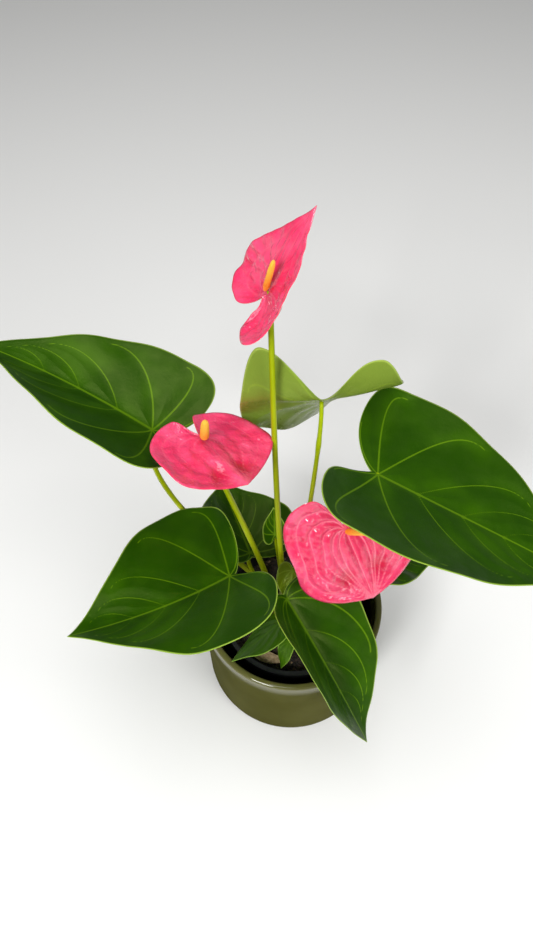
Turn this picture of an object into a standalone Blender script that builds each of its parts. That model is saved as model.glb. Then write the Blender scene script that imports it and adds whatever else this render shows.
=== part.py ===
"""Potted anthurium: glazed cachepot, plastic nursery pot, soil and the plant's leaves and flowers.

Units are metres, +Z is up and the origin is the centre of the cachepot's underside.
Plant heights are given above the soil, so the plant follows the pots when they change.
"""
from dataclasses import dataclass
from math import cos, hypot, pi, radians, sin

import bmesh
import bpy
from mathutils import Matrix, Vector

# ---- driving dimensions: pots and soil ----
FIT_GAP = 0.0003            # air between pieces that touch
CACHEPOT_RADIUS = 0.065
CACHEPOT_HEIGHT = 0.102
CACHEPOT_WALL = 0.0046
CACHEPOT_FLOOR = 0.005
CACHEPOT_FOOT_FILLET = 0.012
CACHEPOT_RIM_FILLET = 0.0018
POT_GAP = 0.0084            # ring of air between the two pots at the nursery pot's rim
NURSERY_BELOW_RIM = 0.0096
NURSERY_WALL = 0.0013
NURSERY_TAPER = 0.010       # how much narrower the foot is than the mouth
NURSERY_LIP_WIDTH = 0.0018
NURSERY_LIP_DEPTH = 0.007
DRAIN_HOLE_RADIUS = 0.0035
DRAIN_HOLE_COUNT = 6
DRAIN_RING_SHARE = 0.6      # drain holes' ring as a share of the foot radius
SOIL_BELOW_LIP = 0.0104
ROUND_STEPS = 48

# ---- driving dimensions: plant ----
CROWN_CENTRE = (-0.005, 0.009)
CROWN_RADIUS = 0.0045
CROWN_HEIGHT = 0.018
BLADE_THICKNESS = 0.0010
MIDRIB_HALF_WIDTH = 0.004   # the fold starts softly within this distance of the midrib
HUB_OFFSET = 0.004          # petiole joint, ahead of the notch along the midrib
STALK_SEAT_GAP = 0.0006     # between a blade and the stalk or spadix that ends on it
OUTLINE_STEPS = (5, 5, 7)   # notch to lobe, lobe to shoulder, shoulder to tip
BLADE_RINGS = (0.34, 0.68, 1.0)
STALK_STEPS = 12
SPADIX_STEPS = 9
SPADIX_SIDES = 10
SHEATH_STEPS = 8
SHEATH_ARC_STEPS = 6
SHEATH_THICKNESS = 0.0007
SHEATH_CLEARANCE = 0.0004
SHEATH_FLARE = 0.0003


@dataclass(frozen=True)
class Blade:
    """Heart-shaped blade: the joint's place above the soil, how it turns, and its own shape."""
    joint: tuple            # x, y and height above the soil
    heading: float          # compass direction of the midrib, degrees from +X
    pitch: float            # rise of the midrib, degrees
    roll: float             # turn about the midrib, degrees
    length: float           # notch to tip
    width: float
    lobe: float             # how far the lobes reach behind the notch
    shoulder: float = 0.15  # place of the widest point, as a share of length
    lobe_out: float = 0.5   # how far out the lobes end, as a share of half the width
    fold: tuple = (0.1, 0.1)  # rise of the left and right halves, per unit of width
    lift: float = 0.1       # upward curl of the lobes
    droop: float = 0.0      # bend of the midrib, radians over its length
    cup: float = 0.0        # extra rise towards the edges
    twist: float = 0.0
    tip: float = 0.55       # fullness of the outline near the tip


@dataclass(frozen=True)
class Stalk:
    """Stalk from the soil to a blade's joint."""
    foot: tuple             # x and y on the soil
    lean: tuple             # first guide point: x, y and height above the soil
    bend: tuple             # second guide point, in the same terms
    foot_radius: float
    top_radius: float


@dataclass(frozen=True)
class Leaf:
    name: str
    blade: Blade
    stalk: Stalk
    colour: tuple = (0.03, 0.10, 0.008)


@dataclass(frozen=True)
class Flower:
    name: str
    blade: Blade
    stalk: Stalk
    spadix_axis: tuple
    spadix_length: float
    spadix_radius: float
    colour: tuple = (0.80, 0.06, 0.14)


@dataclass(frozen=True)
class Sheath:
    """Dry or fleshy scale that wraps the foot of one stalk."""
    name: str
    stalk_of: str
    height_share: float     # how far up its stalk it reaches
    facing: float           # direction it opens away from, degrees from +X
    wrap: float             # degrees of the stalk it covers at its foot
    colour: tuple


LIGHT_GREEN = (0.16, 0.33, 0.03)
STALK_GREEN = (0.24, 0.34, 0.01)
SPADIX_YELLOW = (0.9, 0.5, 0.06)

LEAVES = (
    Leaf("upper_left",
         Blade((-0.078, 0.026, 0.183), 154, 20, 14, 0.115, 0.090, 0.015, 0.05, 0.60,
               (0.33, 0.33), 0.2, 0.23, 0.10, 0.0, 0.57),
         Stalk((-0.0125, 0.0165), (-0.056, 0.042, 0.030), (-0.098, 0.024, 0.142), 0.0021, 0.0014)),
    Leaf("lower_left",
         Blade((-0.037, -0.023, 0.110), 210, -4, 23, 0.103, 0.114, 0.014, 0.14, 0.55,
               (0.20, 0.36), 0.5, -0.40, 0.0, -0.08, 0.50),
         Stalk((-0.012, 0.002), (-0.020, -0.014, 0.045), (-0.034, -0.033, 0.086), 0.0021, 0.0014)),
    Leaf("right",
         Blade((0.037, -0.003, 0.187), -27, -9, -20, 0.119, 0.122, 0.019, 0.0, 0.60,
               (0.12, 0.0), 0.38, 0.0, 0.18, 0.08, 0.80),
         Stalk((0.001, 0.017), (0.030, 0.026, 0.085), (0.039, 0.018, 0.160), 0.0021, 0.0014)),
    Leaf("front",
         Blade((-0.008, -0.030, 0.095), -49, -41, -13, 0.122, 0.061, 0.006, 0.13, 0.45,
               (0.66, 0.77), 0.2, 0.15, 0.24, 0.0, 0.76),
         Stalk((-0.0075, -0.0015), (-0.004, -0.011, 0.045), (-0.0214, -0.0235, 0.073), 0.0020, 0.0014)),
    Leaf("back",
         Blade((-0.0284, 0.0154, 0.057), 112, 8, 18, 0.062, 0.070, 0.004, 0.30, 0.49,
               (0.40, 0.24), 0.1, 0.0, 0.20, 0.0, 0.69),
         Stalk((-0.019, 0.0135), (-0.024, 0.018, 0.020), (-0.035, 0.019, 0.043), 0.0018, 0.0013)),
    Leaf("top_young",
         Blade((0.0112, 0.0265, 0.2105), 86, -55, -6, 0.077, 0.088, 0.020, 0.20, 0.68,
               (-0.02, 0.05), 0.90, 0.0, 0.07, -0.40, 0.50),
         Stalk((0.004, 0.012), (0.0065, 0.014, 0.110), (0.012, 0.011, 0.194), 0.0019, 0.0012),
         LIGHT_GREEN),
    Leaf("right_rear",
         Blade((0.044, -0.004, 0.096), 8, -14, -12, 0.052, 0.052, 0.010, 0.15, 0.55,
               (0.02, 0.03), 0.1, 0.3, 0.0, 0.0, 0.52),
         Stalk((0.010, 0.008), (0.022, 0.008, 0.050), (0.0435, -0.0085, 0.075), 0.0018, 0.0012)),
    Leaf("low_small",
         Blade((-0.006, -0.026, 0.050), 215, -26, 36, 0.047, 0.034, 0.007, 0.28, 0.50,
               (0.09, -0.11), 0.1, -0.14, -0.08, 0.0, 0.48),
         Stalk((-0.009, -0.010), (-0.007, -0.014, 0.020), (-0.0006, -0.0316, 0.039), 0.0014, 0.0010)),
    Leaf("sprout",
         Blade((-0.003, -0.039, 0.043), 232, -46, 12, 0.028, 0.012, 0.002, 0.22, 0.55,
               (0.11, 0.12), 0.1, 0.7, 0.0, 0.0, 0.60),
         Stalk((-0.001, -0.028), (-0.001, -0.032, 0.018), (0.0027, -0.0355, 0.034), 0.0012, 0.0008)),
    Leaf("centre_young",
         Blade((-0.001, -0.003, 0.078), -100, -35, 8, 0.026, 0.020, 0.003, 0.25, 0.50,
               (0.15, 0.15), 0.1, 0.2, 0.0, 0.0, 0.55),
         Stalk((0.004, -0.002), (0.005, 0.000, 0.040), (0.0023, 0.0034, 0.0645), 0.0013, 0.0009),
         LIGHT_GREEN),
    Leaf("bud",
         Blade((-0.0125, 0.016, 0.085), 95, 58, -10, 0.022, 0.016, 0.005, 0.20, 0.50,
               (0.55, 0.75), 0.1, 0.0, 0.0, 0.0, 0.55),
         Stalk((-0.006, 0.0165), (-0.008, 0.0125, 0.040), (-0.0125, 0.0195, 0.070), 0.0012, 0.0009)),
)

FLOWERS = (
    Flower("top",
           Blade((-0.018, 0.033, 0.274), 17, 64, 0, 0.048, 0.054, 0.012, -0.10, 0.43,
                 (-0.38, -0.08), 0.73, 0.0, 0.45, 0.19, 0.35),
           Stalk((-0.003, 0.0015), (-0.013, 0.001, 0.110), (-0.0145, 0.017, 0.237), 0.0020, 0.0014),
           (0.17, -0.26, 0.95), 0.021, 0.0016),
    Flower("left",
           Blade((-0.0534, 0.0095, 0.2025), -47, -4, -28, 0.039, 0.066, 0.013, 0.31, 0.27,
                 (-0.20, -0.52), 0.16, 0.0, 0.36, 0.0, 1.15),
           Stalk((-0.0135, 0.0085), (-0.015, 0.003, 0.055), (-0.038, 0.006, 0.140), 0.0022, 0.0014),
           (0.10, -0.33, 0.94), 0.024, 0.0025),
    Flower("right",
           Blade((0.0252, -0.0125, 0.148), -45, -59, 25, 0.058, 0.071, 0.028, 0.19, 0.37,
                 (0.60, 0.29), 0.22, 0.0, -0.43, -0.10, 1.35),
           Stalk((0.004, 0.0045), (0.009, 0.001, 0.060), (0.018, 0.012, 0.120), 0.0021, 0.0014),
           (0.66, -0.42, 0.62), 0.016, 0.0020),
)

SHEATHS = (
    Sheath("sheath_pale", "peduncle_left", 0.28, 185, 170, (0.55, 0.60, 0.20)),
    Sheath("sheath_red", "petiole_front", 0.30, 265, 170, (0.45, 0.16, 0.12)),
    Sheath("sheath_green", "petiole_right", 0.16, 75, 170, (0.50, 0.52, 0.22)),
)

# ---- sizes worked out from the driving dimensions ----
CACHEPOT_BORE = CACHEPOT_RADIUS - CACHEPOT_WALL
NURSERY_MOUTH = CACHEPOT_BORE - POT_GAP
NURSERY_TOP = CACHEPOT_HEIGHT - NURSERY_BELOW_RIM
NURSERY_FOOT_Z = CACHEPOT_FLOOR + FIT_GAP
NURSERY_WALL_TOP = NURSERY_MOUTH - NURSERY_LIP_WIDTH
NURSERY_FOOT_RADIUS = NURSERY_WALL_TOP - NURSERY_TAPER
SOIL_TOP = NURSERY_TOP - SOIL_BELOW_LIP
SOIL_FOOT_Z = NURSERY_FOOT_Z + NURSERY_WALL + FIT_GAP


def clear_scene():
    """Remove whatever the opened file holds."""
    for item in list(bpy.data.objects):
        bpy.data.objects.remove(item, do_unlink=True)


def make_material(name, colour, roughness, metallic=0.0):
    """Principled material with one colour."""
    material = bpy.data.materials.new(name)
    material.use_nodes = True
    shader = material.node_tree.nodes["Principled BSDF"]
    shader.inputs["Base Color"].default_value = (*colour, 1.0)
    shader.inputs["Roughness"].default_value = roughness
    shader.inputs["Metallic"].default_value = metallic
    return material


def link_object(name, data, material):
    """Put new mesh or curve data in the scene under its sub-part's name."""
    item = bpy.data.objects.new(name, data)
    bpy.context.scene.collection.objects.link(item)
    data.materials.append(material)
    return item


def mesh_object(name, points, faces, material, crease_angle=40):
    """Mesh object from points and faces, shaded smooth except at sharp edges."""
    mesh = bpy.data.meshes.new(name)
    mesh.from_pydata([tuple(point) for point in points], [], faces)
    mesh.validate()
    mesh.shade_smooth()
    mesh.set_sharp_from_angle(angle=radians(crease_angle))
    return link_object(name, mesh, material)


def turned_object(name, profile, material, steps=ROUND_STEPS, centre=(0.0, 0.0)):
    """Turn a half profile of (radius, height) points about the vertical axis.

    The profile runs down the outer side and ends on the axis, or goes on up the inner side.
    """
    mesh = bpy.data.meshes.new(name)
    edges = [(index, index + 1) for index in range(len(profile) - 1)]
    on_axis = [radius == 0.0 for radius, _ in profile]
    if not on_axis[-1]:
        edges.append((len(profile) - 1, 0))
    edges = [edge for edge in edges if not (on_axis[edge[0]] and on_axis[edge[1]])]
    mesh.from_pydata([(radius, 0.0, height) for radius, height in profile], edges, [])
    item = link_object(name, mesh, material)
    item.location = (*centre, 0.0)
    screw = item.modifiers.new("turn", "SCREW")
    screw.steps = steps
    screw.render_steps = steps
    screw.use_merge_vertices = True
    screw.merge_threshold = 0.00005
    screw.use_smooth_shade = True
    return item


def arc_points(centre_radius, centre_height, radius, start, end, steps):
    """Points of an arc in the turned profile's plane, angles in degrees from +X."""
    points = []
    for index in range(steps + 1):
        angle = radians(start + (end - start) * index / steps)
        points.append((centre_radius + radius * cos(angle), centre_height + radius * sin(angle)))
    return points


def build_cachepot():
    """Straight glazed pot with a rounded rim, a rounded foot and a flat underside."""
    fillet = CACHEPOT_RIM_FILLET
    foot = CACHEPOT_FOOT_FILLET
    inner_foot = foot - CACHEPOT_WALL
    profile = arc_points(CACHEPOT_RADIUS - fillet, CACHEPOT_HEIGHT - fillet, fillet, 90, 0, 4)
    profile += arc_points(CACHEPOT_RADIUS - foot, foot, foot, 0, -90, 7)
    profile.append((0.0, 0.0))
    profile.append((0.0, CACHEPOT_FLOOR))
    profile += arc_points(CACHEPOT_BORE - inner_foot, CACHEPOT_FLOOR + inner_foot, inner_foot,
                          -90, 0, 4)
    profile += arc_points(CACHEPOT_BORE + fillet, CACHEPOT_HEIGHT - fillet, fillet, 180, 90, 3)
    turned_object("cachepot", profile, make_material("cachepot", (0.10, 0.10, 0.035), 0.15))


def build_nursery_pot():
    """Thin tapered plastic pot with an outward lip and drain holes in its floor."""
    lip_foot = NURSERY_TOP - NURSERY_LIP_DEPTH
    profile = [
        (NURSERY_MOUTH, NURSERY_TOP),
        (NURSERY_MOUTH, lip_foot),
        (NURSERY_WALL_TOP, lip_foot),
        (NURSERY_FOOT_RADIUS, NURSERY_FOOT_Z),
        (0.0, NURSERY_FOOT_Z),
        (0.0, NURSERY_FOOT_Z + NURSERY_WALL),
        (NURSERY_FOOT_RADIUS - NURSERY_WALL, NURSERY_FOOT_Z + NURSERY_WALL),
        (NURSERY_WALL_TOP - NURSERY_WALL, lip_foot),
        (NURSERY_WALL_TOP - NURSERY_WALL, NURSERY_TOP),
    ]
    pot = turned_object("nursery_pot", profile, make_material("nursery_pot", (0.012,) * 3, 0.45))
    cutter = drain_cutter()
    cut = pot.modifiers.new("drain_holes", "BOOLEAN")
    cut.operation = "DIFFERENCE"
    cut.solver = "EXACT"
    cut.object = cutter


def drain_cutter():
    """Ring of short rods that cut the drain holes."""
    ring_radius = NURSERY_FOOT_RADIUS * DRAIN_RING_SHARE
    points = bmesh.new()
    for index in range(DRAIN_HOLE_COUNT):
        angle = 2 * pi * index / DRAIN_HOLE_COUNT
        place = Matrix.Translation((ring_radius * cos(angle), ring_radius * sin(angle),
                                    NURSERY_FOOT_Z + NURSERY_WALL / 2))
        bmesh.ops.create_cone(points, cap_ends=True, segments=12, radius1=DRAIN_HOLE_RADIUS,
                              radius2=DRAIN_HOLE_RADIUS, depth=4 * NURSERY_WALL, matrix=place)
    mesh = bpy.data.meshes.new("drain_cutter")
    points.to_mesh(mesh)
    points.free()
    cutter = bpy.data.objects.new("drain_cutter", mesh)
    bpy.context.scene.collection.objects.link(cutter)
    cutter.hide_render = True
    cutter.display_type = "WIRE"
    return cutter


def build_soil():
    """Plug of potting soil with a flat top."""
    slope = NURSERY_TAPER / (NURSERY_TOP - NURSERY_LIP_DEPTH - NURSERY_FOOT_Z)
    clear = NURSERY_WALL + 2 * FIT_GAP
    foot = NURSERY_FOOT_RADIUS - clear
    top = foot + slope * (SOIL_TOP - SOIL_FOOT_Z)
    profile = [(0.0, SOIL_TOP), (top * 0.5, SOIL_TOP), (top, SOIL_TOP), (foot, SOIL_FOOT_Z),
               (0.0, SOIL_FOOT_Z)]
    turned_object("potting_soil", profile, make_material("potting_soil", (0.02, 0.013, 0.009), 0.95))


def build_crown():
    """Short ringed stem that the stalks grow around."""
    foot = SOIL_TOP + FIT_GAP
    profile = [(0.0, foot + CROWN_HEIGHT)]
    for level, share in ((1.0, 0.6), (0.86, 0.9), (0.7, 1.0), (0.62, 0.9), (0.4, 1.0),
                         (0.32, 0.9), (0.12, 1.0), (0.0, 0.95)):
        profile.append((CROWN_RADIUS * share, foot + CROWN_HEIGHT * level))
    profile.append((0.0, foot))
    turned_object("crown_stem", profile, make_material("crown_stem", (0.20, 0.22, 0.05), 0.7), 12,
                  CROWN_CENTRE)


def build_dry_bract():
    """Curled dry bract lying on the soil near the front."""
    steps = 6
    length = 0.028
    width = 0.009
    rise = 0.0025
    thickness = 0.0012
    foot = SOIL_TOP + FIT_GAP
    points = []
    for index in range(steps + 1):
        share = index / steps
        half = 0.5 * width * sin(pi * (0.12 + 0.76 * share))
        along = length * (share - 0.5)
        lift = rise * (2 * share - 1) ** 2
        for side in (-half, half):
            for top in (0.0, thickness):
                points.append((along, side + 8 * along * along, foot + lift + top))
    faces = [(0, 1, 3, 2)]
    for index in range(steps):
        a = 4 * index
        b = a + 4
        faces += [(a, b, b + 1, a + 1), (a + 2, a + 3, b + 3, b + 2), (a + 1, b + 1, b + 3, a + 3),
                  (a, a + 2, b + 2, b)]
    last = 4 * steps
    faces.append((last, last + 2, last + 3, last + 1))
    place = Matrix.Translation((-0.021, -0.034, 0.0)) @ Matrix.Rotation(radians(-25), 4, "Z")
    placed = [place @ Vector(point) for point in points]
    mesh_object("dry_bract", placed, faces, make_material("dry_bract", (0.3, 0.23, 0.13), 0.8))


def bezier_point(guides, share):
    """Point of a cubic curve given by its four guide points."""
    a, b, c, d = guides
    rest = 1.0 - share
    return (a * rest ** 3 + b * (3 * rest * rest * share) + c * (3 * rest * share * share)
            + d * share ** 3)


def half_outline(blade):
    """Flat outline of one half of a blade, from its notch round the lobe to its tip."""
    half = 0.5 * blade.width
    lobe_y = blade.lobe_out * half
    widest = blade.shoulder * blade.length
    ahead = blade.length - widest
    notch = Vector((0.0, 0.0))
    back = Vector((-blade.lobe, lobe_y))
    side = Vector((widest, half))
    tip = Vector((blade.length, 0.0))
    curves = (
        (notch, Vector((-0.35 * blade.lobe, 0.10 * half)), Vector((-blade.lobe, 0.45 * lobe_y)), back),
        (back, Vector((-blade.lobe, lobe_y + 0.62 * (half - lobe_y))),
         Vector((widest - 0.62 * (widest + blade.lobe), half)), side),
        (side, Vector((widest + 0.42 * ahead, half)),
         Vector((blade.length - 0.42 * ahead, blade.tip * half)), tip),
    )
    outline = [notch]
    for guides, steps in zip(curves, OUTLINE_STEPS):
        outline += [bezier_point(guides, index / steps) for index in range(1, steps + 1)]
    return outline


def blade_frame(blade):
    """Axes of a blade in the world: its midrib, its left side and its upper side."""
    heading = radians(blade.heading)
    pitch = radians(blade.pitch)
    roll = radians(blade.roll)
    along = Vector((cos(heading) * cos(pitch), sin(heading) * cos(pitch), sin(pitch)))
    level = Vector((-sin(heading), cos(heading), 0.0))
    up = along.cross(level)
    left = level * cos(roll) + up * sin(roll)
    return along, left, along.cross(left)


def joint_point(blade):
    """World place of the blade's notch."""
    x, y, height = blade.joint
    return Vector((x, y, SOIL_TOP + height))


def blade_point(blade, x, y):
    """World point of the blade's surface at x along the midrib and y to the left of it."""
    half = 0.5 * blade.width
    fold = blade.fold[0] if y > 0 else blade.fold[1]
    rise = fold * (hypot(y, MIDRIB_HALF_WIDTH) - MIDRIB_HALF_WIDTH)
    rise += blade.cup * y * y / half + blade.twist * x * y / half
    if x < 0:
        rise += blade.lift * x * x / blade.lobe
    bend = blade.droop / blade.length
    if abs(blade.droop) > 1e-6:
        forward = sin(bend * x) / bend + rise * sin(bend * x)
        upward = (cos(bend * x) - 1) / bend + rise * cos(bend * x)
    else:
        forward = x
        upward = rise
    along, left, up = blade_frame(blade)
    return joint_point(blade) + along * forward + left * y + up * upward


def build_blade(name, blade, material):
    """Leaf or spathe: rings of points from the joint out to the outline, given a thickness."""
    left = half_outline(blade)
    right = [Vector((point.x, -point.y)) for point in reversed(left[1:-1])]
    outline = left + right
    hub = Vector((HUB_OFFSET * min(1.0, blade.length / 0.05), 0.0))
    count = len(outline)
    points = [blade_point(blade, *hub)]
    for share in BLADE_RINGS:
        points += [blade_point(blade, *hub.lerp(edge, share)) for edge in outline]
    faces = [(0, 1 + (index + 1) % count, 1 + index) for index in range(count)]
    for ring in range(len(BLADE_RINGS) - 1):
        inner = 1 + ring * count
        outer = inner + count
        for index in range(count):
            after = (index + 1) % count
            faces.append((inner + index, inner + after, outer + after, outer + index))
    item = mesh_object(name, points, faces, material, 60)
    shell = item.modifiers.new("thickness", "SOLIDIFY")
    shell.thickness = BLADE_THICKNESS
    shell.offset = 0.0


def stalk_guides(blade, stalk):
    """Guide points of a stalk's curve, from the soil to its seat under the blade."""
    up = blade_frame(blade)[2]
    seat = blade_point(blade, HUB_OFFSET * min(1.0, blade.length / 0.05), 0.0)
    foot = Vector((*stalk.foot, SOIL_TOP))
    lean = Vector((stalk.lean[0], stalk.lean[1], SOIL_TOP + stalk.lean[2]))
    bend = Vector((stalk.bend[0], stalk.bend[1], SOIL_TOP + stalk.bend[2]))
    rise = (lean - foot).normalized()
    foot.z += FIT_GAP + stalk.foot_radius * hypot(rise.x, rise.y)
    arrival = (seat - bend).normalized()
    slant = stalk.top_radius * arrival.cross(up).length
    return foot, lean, bend, seat - up * (0.5 * BLADE_THICKNESS + STALK_SEAT_GAP + slant)


def build_stalk(name, blade, stalk, material):
    """Round stalk that thins towards its top, along one smooth curve."""
    foot, guide, under, end = stalk_guides(blade, stalk)
    curve = bpy.data.curves.new(name, "CURVE")
    curve.dimensions = "3D"
    curve.bevel_depth = 1.0
    curve.bevel_resolution = 1
    curve.resolution_u = STALK_STEPS
    curve.use_fill_caps = True
    spline = curve.splines.new("BEZIER")
    spline.bezier_points.add(1)
    for point, place, handles, radius in zip(
            spline.bezier_points, (foot, end), ((2 * foot - guide, guide), (under, 2 * end - under)),
            (stalk.foot_radius, stalk.top_radius)):
        point.handle_left_type = "FREE"
        point.handle_right_type = "FREE"
        point.co = place
        point.handle_left, point.handle_right = handles
        point.radius = radius
    link_object(name, curve, material)


def build_spadix(flower, material):
    """Round-ended spike that stands on the spathe at its joint."""
    blade = flower.blade
    up = blade_frame(blade)[2]
    axis = Vector(flower.spadix_axis).normalized()
    seat = blade_point(blade, HUB_OFFSET, 0.0)
    slant = (1 - min(1.0, axis.dot(up)) ** 2) ** 0.5
    foot_radius = 0.55 * flower.spadix_radius
    foot = seat + up * (0.5 * BLADE_THICKNESS + STALK_SEAT_GAP + foot_radius * slant)
    turn = axis.to_track_quat("Z", "Y").to_matrix()
    points = [foot]
    for step in range(SPADIX_STEPS):
        share = step / SPADIX_STEPS
        taper = (1 - 0.25 * share) * (1 - share ** 6) ** 0.5
        radius = foot_radius if step == 0 else flower.spadix_radius * taper
        for side in range(SPADIX_SIDES):
            angle = 2 * pi * side / SPADIX_SIDES
            ring = Vector((radius * cos(angle), radius * sin(angle), share * flower.spadix_length))
            points.append(foot + turn @ ring)
    points.append(foot + axis * flower.spadix_length)
    tip = len(points) - 1
    faces = []
    for side in range(SPADIX_SIDES):
        after = (side + 1) % SPADIX_SIDES
        faces.append((0, 1 + after, 1 + side))
        last = 1 + (SPADIX_STEPS - 1) * SPADIX_SIDES
        faces.append((last + side, last + after, tip))
        for step in range(SPADIX_STEPS - 1):
            low = 1 + step * SPADIX_SIDES
            high = low + SPADIX_SIDES
            faces.append((low + side, low + after, high + after, high + side))
    mesh_object(f"spadix_{flower.name}", points, faces, material)


def build_sheath(sheath, guides, stalk, material):
    """Pointed scale that wraps the foot of a stalk at a small clearance."""
    facing = Vector((cos(radians(sheath.facing)), sin(radians(sheath.facing)), 0.0))
    inner_points = []
    outer_points = []
    for step in range(SHEATH_STEPS + 1):
        level = step / SHEATH_STEPS
        share = sheath.height_share * (0.04 + 0.96 * level)
        centre = bezier_point(guides, share)
        axis = (bezier_point(guides, share + 0.01) - centre).normalized()
        front = (facing - axis * facing.dot(axis)).normalized()
        side = axis.cross(front)
        wrap = radians(sheath.wrap) * (1 - 0.85 * level ** 1.5)
        radius = stalk.foot_radius + SHEATH_CLEARANCE + SHEATH_FLARE * (1 - level)
        for index in range(SHEATH_ARC_STEPS + 1):
            angle = wrap * (index / SHEATH_ARC_STEPS - 0.5)
            direction = front * cos(angle) + side * sin(angle)
            inner_points.append(centre + direction * radius)
            outer_points.append(centre + direction * (radius + SHEATH_THICKNESS))
    row = SHEATH_ARC_STEPS + 1
    inner = len(outer_points)
    faces = []
    for step in range(SHEATH_STEPS):
        for index in range(SHEATH_ARC_STEPS):
            a = step * row + index
            faces.append((a, a + 1, a + row + 1, a + row))
            faces.append((inner + a, inner + a + row, inner + a + row + 1, inner + a + 1))
        low = step * row
        faces.append((low, low + row, inner + low + row, inner + low))
        end = low + SHEATH_ARC_STEPS
        faces.append((end, inner + end, inner + end + row, end + row))
    top = SHEATH_STEPS * row
    for index in range(SHEATH_ARC_STEPS):
        faces.append((index, inner + index, inner + index + 1, index + 1))
        a = top + index
        faces.append((a, a + 1, inner + a + 1, inner + a))
    mesh_object(sheath.name, outer_points + inner_points, faces, material)


def build_plant():
    """Every leaf and flower on its stalk, and the sheaths round the feet of some stalks."""
    stalks = {}
    for leaf in LEAVES:
        stalk_name = f"petiole_{leaf.name}"
        blade_green = make_material(f"leaf_{leaf.name}", leaf.colour, 0.35)
        build_blade(f"leaf_{leaf.name}", leaf.blade, blade_green)
        build_stalk(stalk_name, leaf.blade, leaf.stalk, make_material(stalk_name, STALK_GREEN, 0.4))
        stalks[stalk_name] = leaf
    for flower in FLOWERS:
        stalk_name = f"peduncle_{flower.name}"
        pink = make_material(f"spathe_{flower.name}", flower.colour, 0.25)
        build_blade(f"spathe_{flower.name}", flower.blade, pink)
        build_stalk(stalk_name, flower.blade, flower.stalk, make_material(stalk_name, STALK_GREEN, 0.4))
        build_spadix(flower, make_material(f"spadix_{flower.name}", SPADIX_YELLOW, 0.6))
        stalks[stalk_name] = flower
    for sheath in SHEATHS:
        owner = stalks[sheath.stalk_of]
        guides = stalk_guides(owner.blade, owner.stalk)
        build_sheath(sheath, guides, owner.stalk, make_material(sheath.name, sheath.colour, 0.6))


clear_scene()
build_cachepot()
build_nursery_pot()
build_soil()
build_crown()
build_dry_bract()
build_plant()
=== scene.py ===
"""Looks of a potted anthurium: glazed cachepot, nursery pot, soil, glossy leaves and pink flowers.

Units are metres, +Z is up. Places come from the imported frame; plant heights are given above the
soil. The blades and stalks repeat the shapes of the part's source, in the same numbers.
"""

import logging
from dataclasses import dataclass, field
from enum import Enum
from math import cos, radians, sin, tau

import bpy
import numpy as np
from mathutils import Matrix, Vector


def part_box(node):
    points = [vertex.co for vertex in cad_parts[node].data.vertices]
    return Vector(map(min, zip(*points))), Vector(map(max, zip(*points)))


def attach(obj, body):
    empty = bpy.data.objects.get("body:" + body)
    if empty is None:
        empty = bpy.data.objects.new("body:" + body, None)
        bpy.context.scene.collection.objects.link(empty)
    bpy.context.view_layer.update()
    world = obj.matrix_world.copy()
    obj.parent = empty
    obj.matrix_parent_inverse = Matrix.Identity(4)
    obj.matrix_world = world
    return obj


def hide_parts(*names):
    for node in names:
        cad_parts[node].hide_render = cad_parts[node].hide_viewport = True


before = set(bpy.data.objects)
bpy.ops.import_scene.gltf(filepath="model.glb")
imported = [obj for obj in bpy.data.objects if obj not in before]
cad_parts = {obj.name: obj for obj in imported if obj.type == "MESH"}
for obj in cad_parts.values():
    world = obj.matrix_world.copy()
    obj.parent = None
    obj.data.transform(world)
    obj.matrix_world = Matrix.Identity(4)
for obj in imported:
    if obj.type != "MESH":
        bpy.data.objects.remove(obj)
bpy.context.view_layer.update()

log = logging.getLogger("anthurium")
logging.basicConfig(level=logging.INFO, format="%(name)s: %(message)s")

Colour = tuple[float, float, float]
MM = 0.001
POT_LOW, POT_HIGH = (Vector(corner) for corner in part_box("cachepot"))
SOIL_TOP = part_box("potting_soil")[1][2]
HUB_OFFSET = 0.004          # a stalk meets its blade this far ahead of the notch
MIDRIB_HALF_WIDTH = 0.004
BLADE_THICKNESS = 0.0010    # thickness that the stalks' ends allow for
OUTLINE_PARTS = 120         # steps along half an outline, where veins look up their ends
VEIN_POINTS = 22            # points along one vein
FARTHEST_RATIO = 12.0       # a point is never told to be farther from a vein than this many half widths,
FARTHEST_MM = 14.0          # or than this many millimetres


class LeafAge(Enum):
    """How old a leaf is, which sets its green."""
    MATURE = "mature"
    YOUNG = "young"
    SMALL = "small"


class Surface(Enum):
    """Sides of a blade, as its "under" attribute stores them."""
    UPPER = 0.0
    LOWER = 1.0


# ---------------------------------------------------------------- shared makers

def cubic(guides: np.ndarray, shares: np.ndarray) -> np.ndarray:
    """Points of a cubic curve.

    Args:
        guides: Four guide points, one per row.
        shares: Places along the curve, from 0 to 1.

    Returns:
        One point per share.
    """
    t = np.asarray(shares, float)[:, None]
    rest = 1.0 - t
    a, b, c, d = np.asarray(guides, float)
    return a * rest ** 3 + b * (3 * rest * rest * t) + c * (3 * rest * t * t) + d * t ** 3


def evenly_spaced(path: np.ndarray, count: int) -> np.ndarray:
    """Points at equal distances along a path.

    Args:
        path: Points of the path, one per row.
        count: How many points to return, both ends included.

    Returns:
        The points, one per row.
    """
    steps = np.linalg.norm(np.diff(path, axis=0), axis=1)
    length = np.concatenate(((0.0,), np.cumsum(steps)))
    places = np.linspace(0.0, length[-1], count)
    return np.column_stack([np.interp(places, length, column) for column in path.T])


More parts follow.
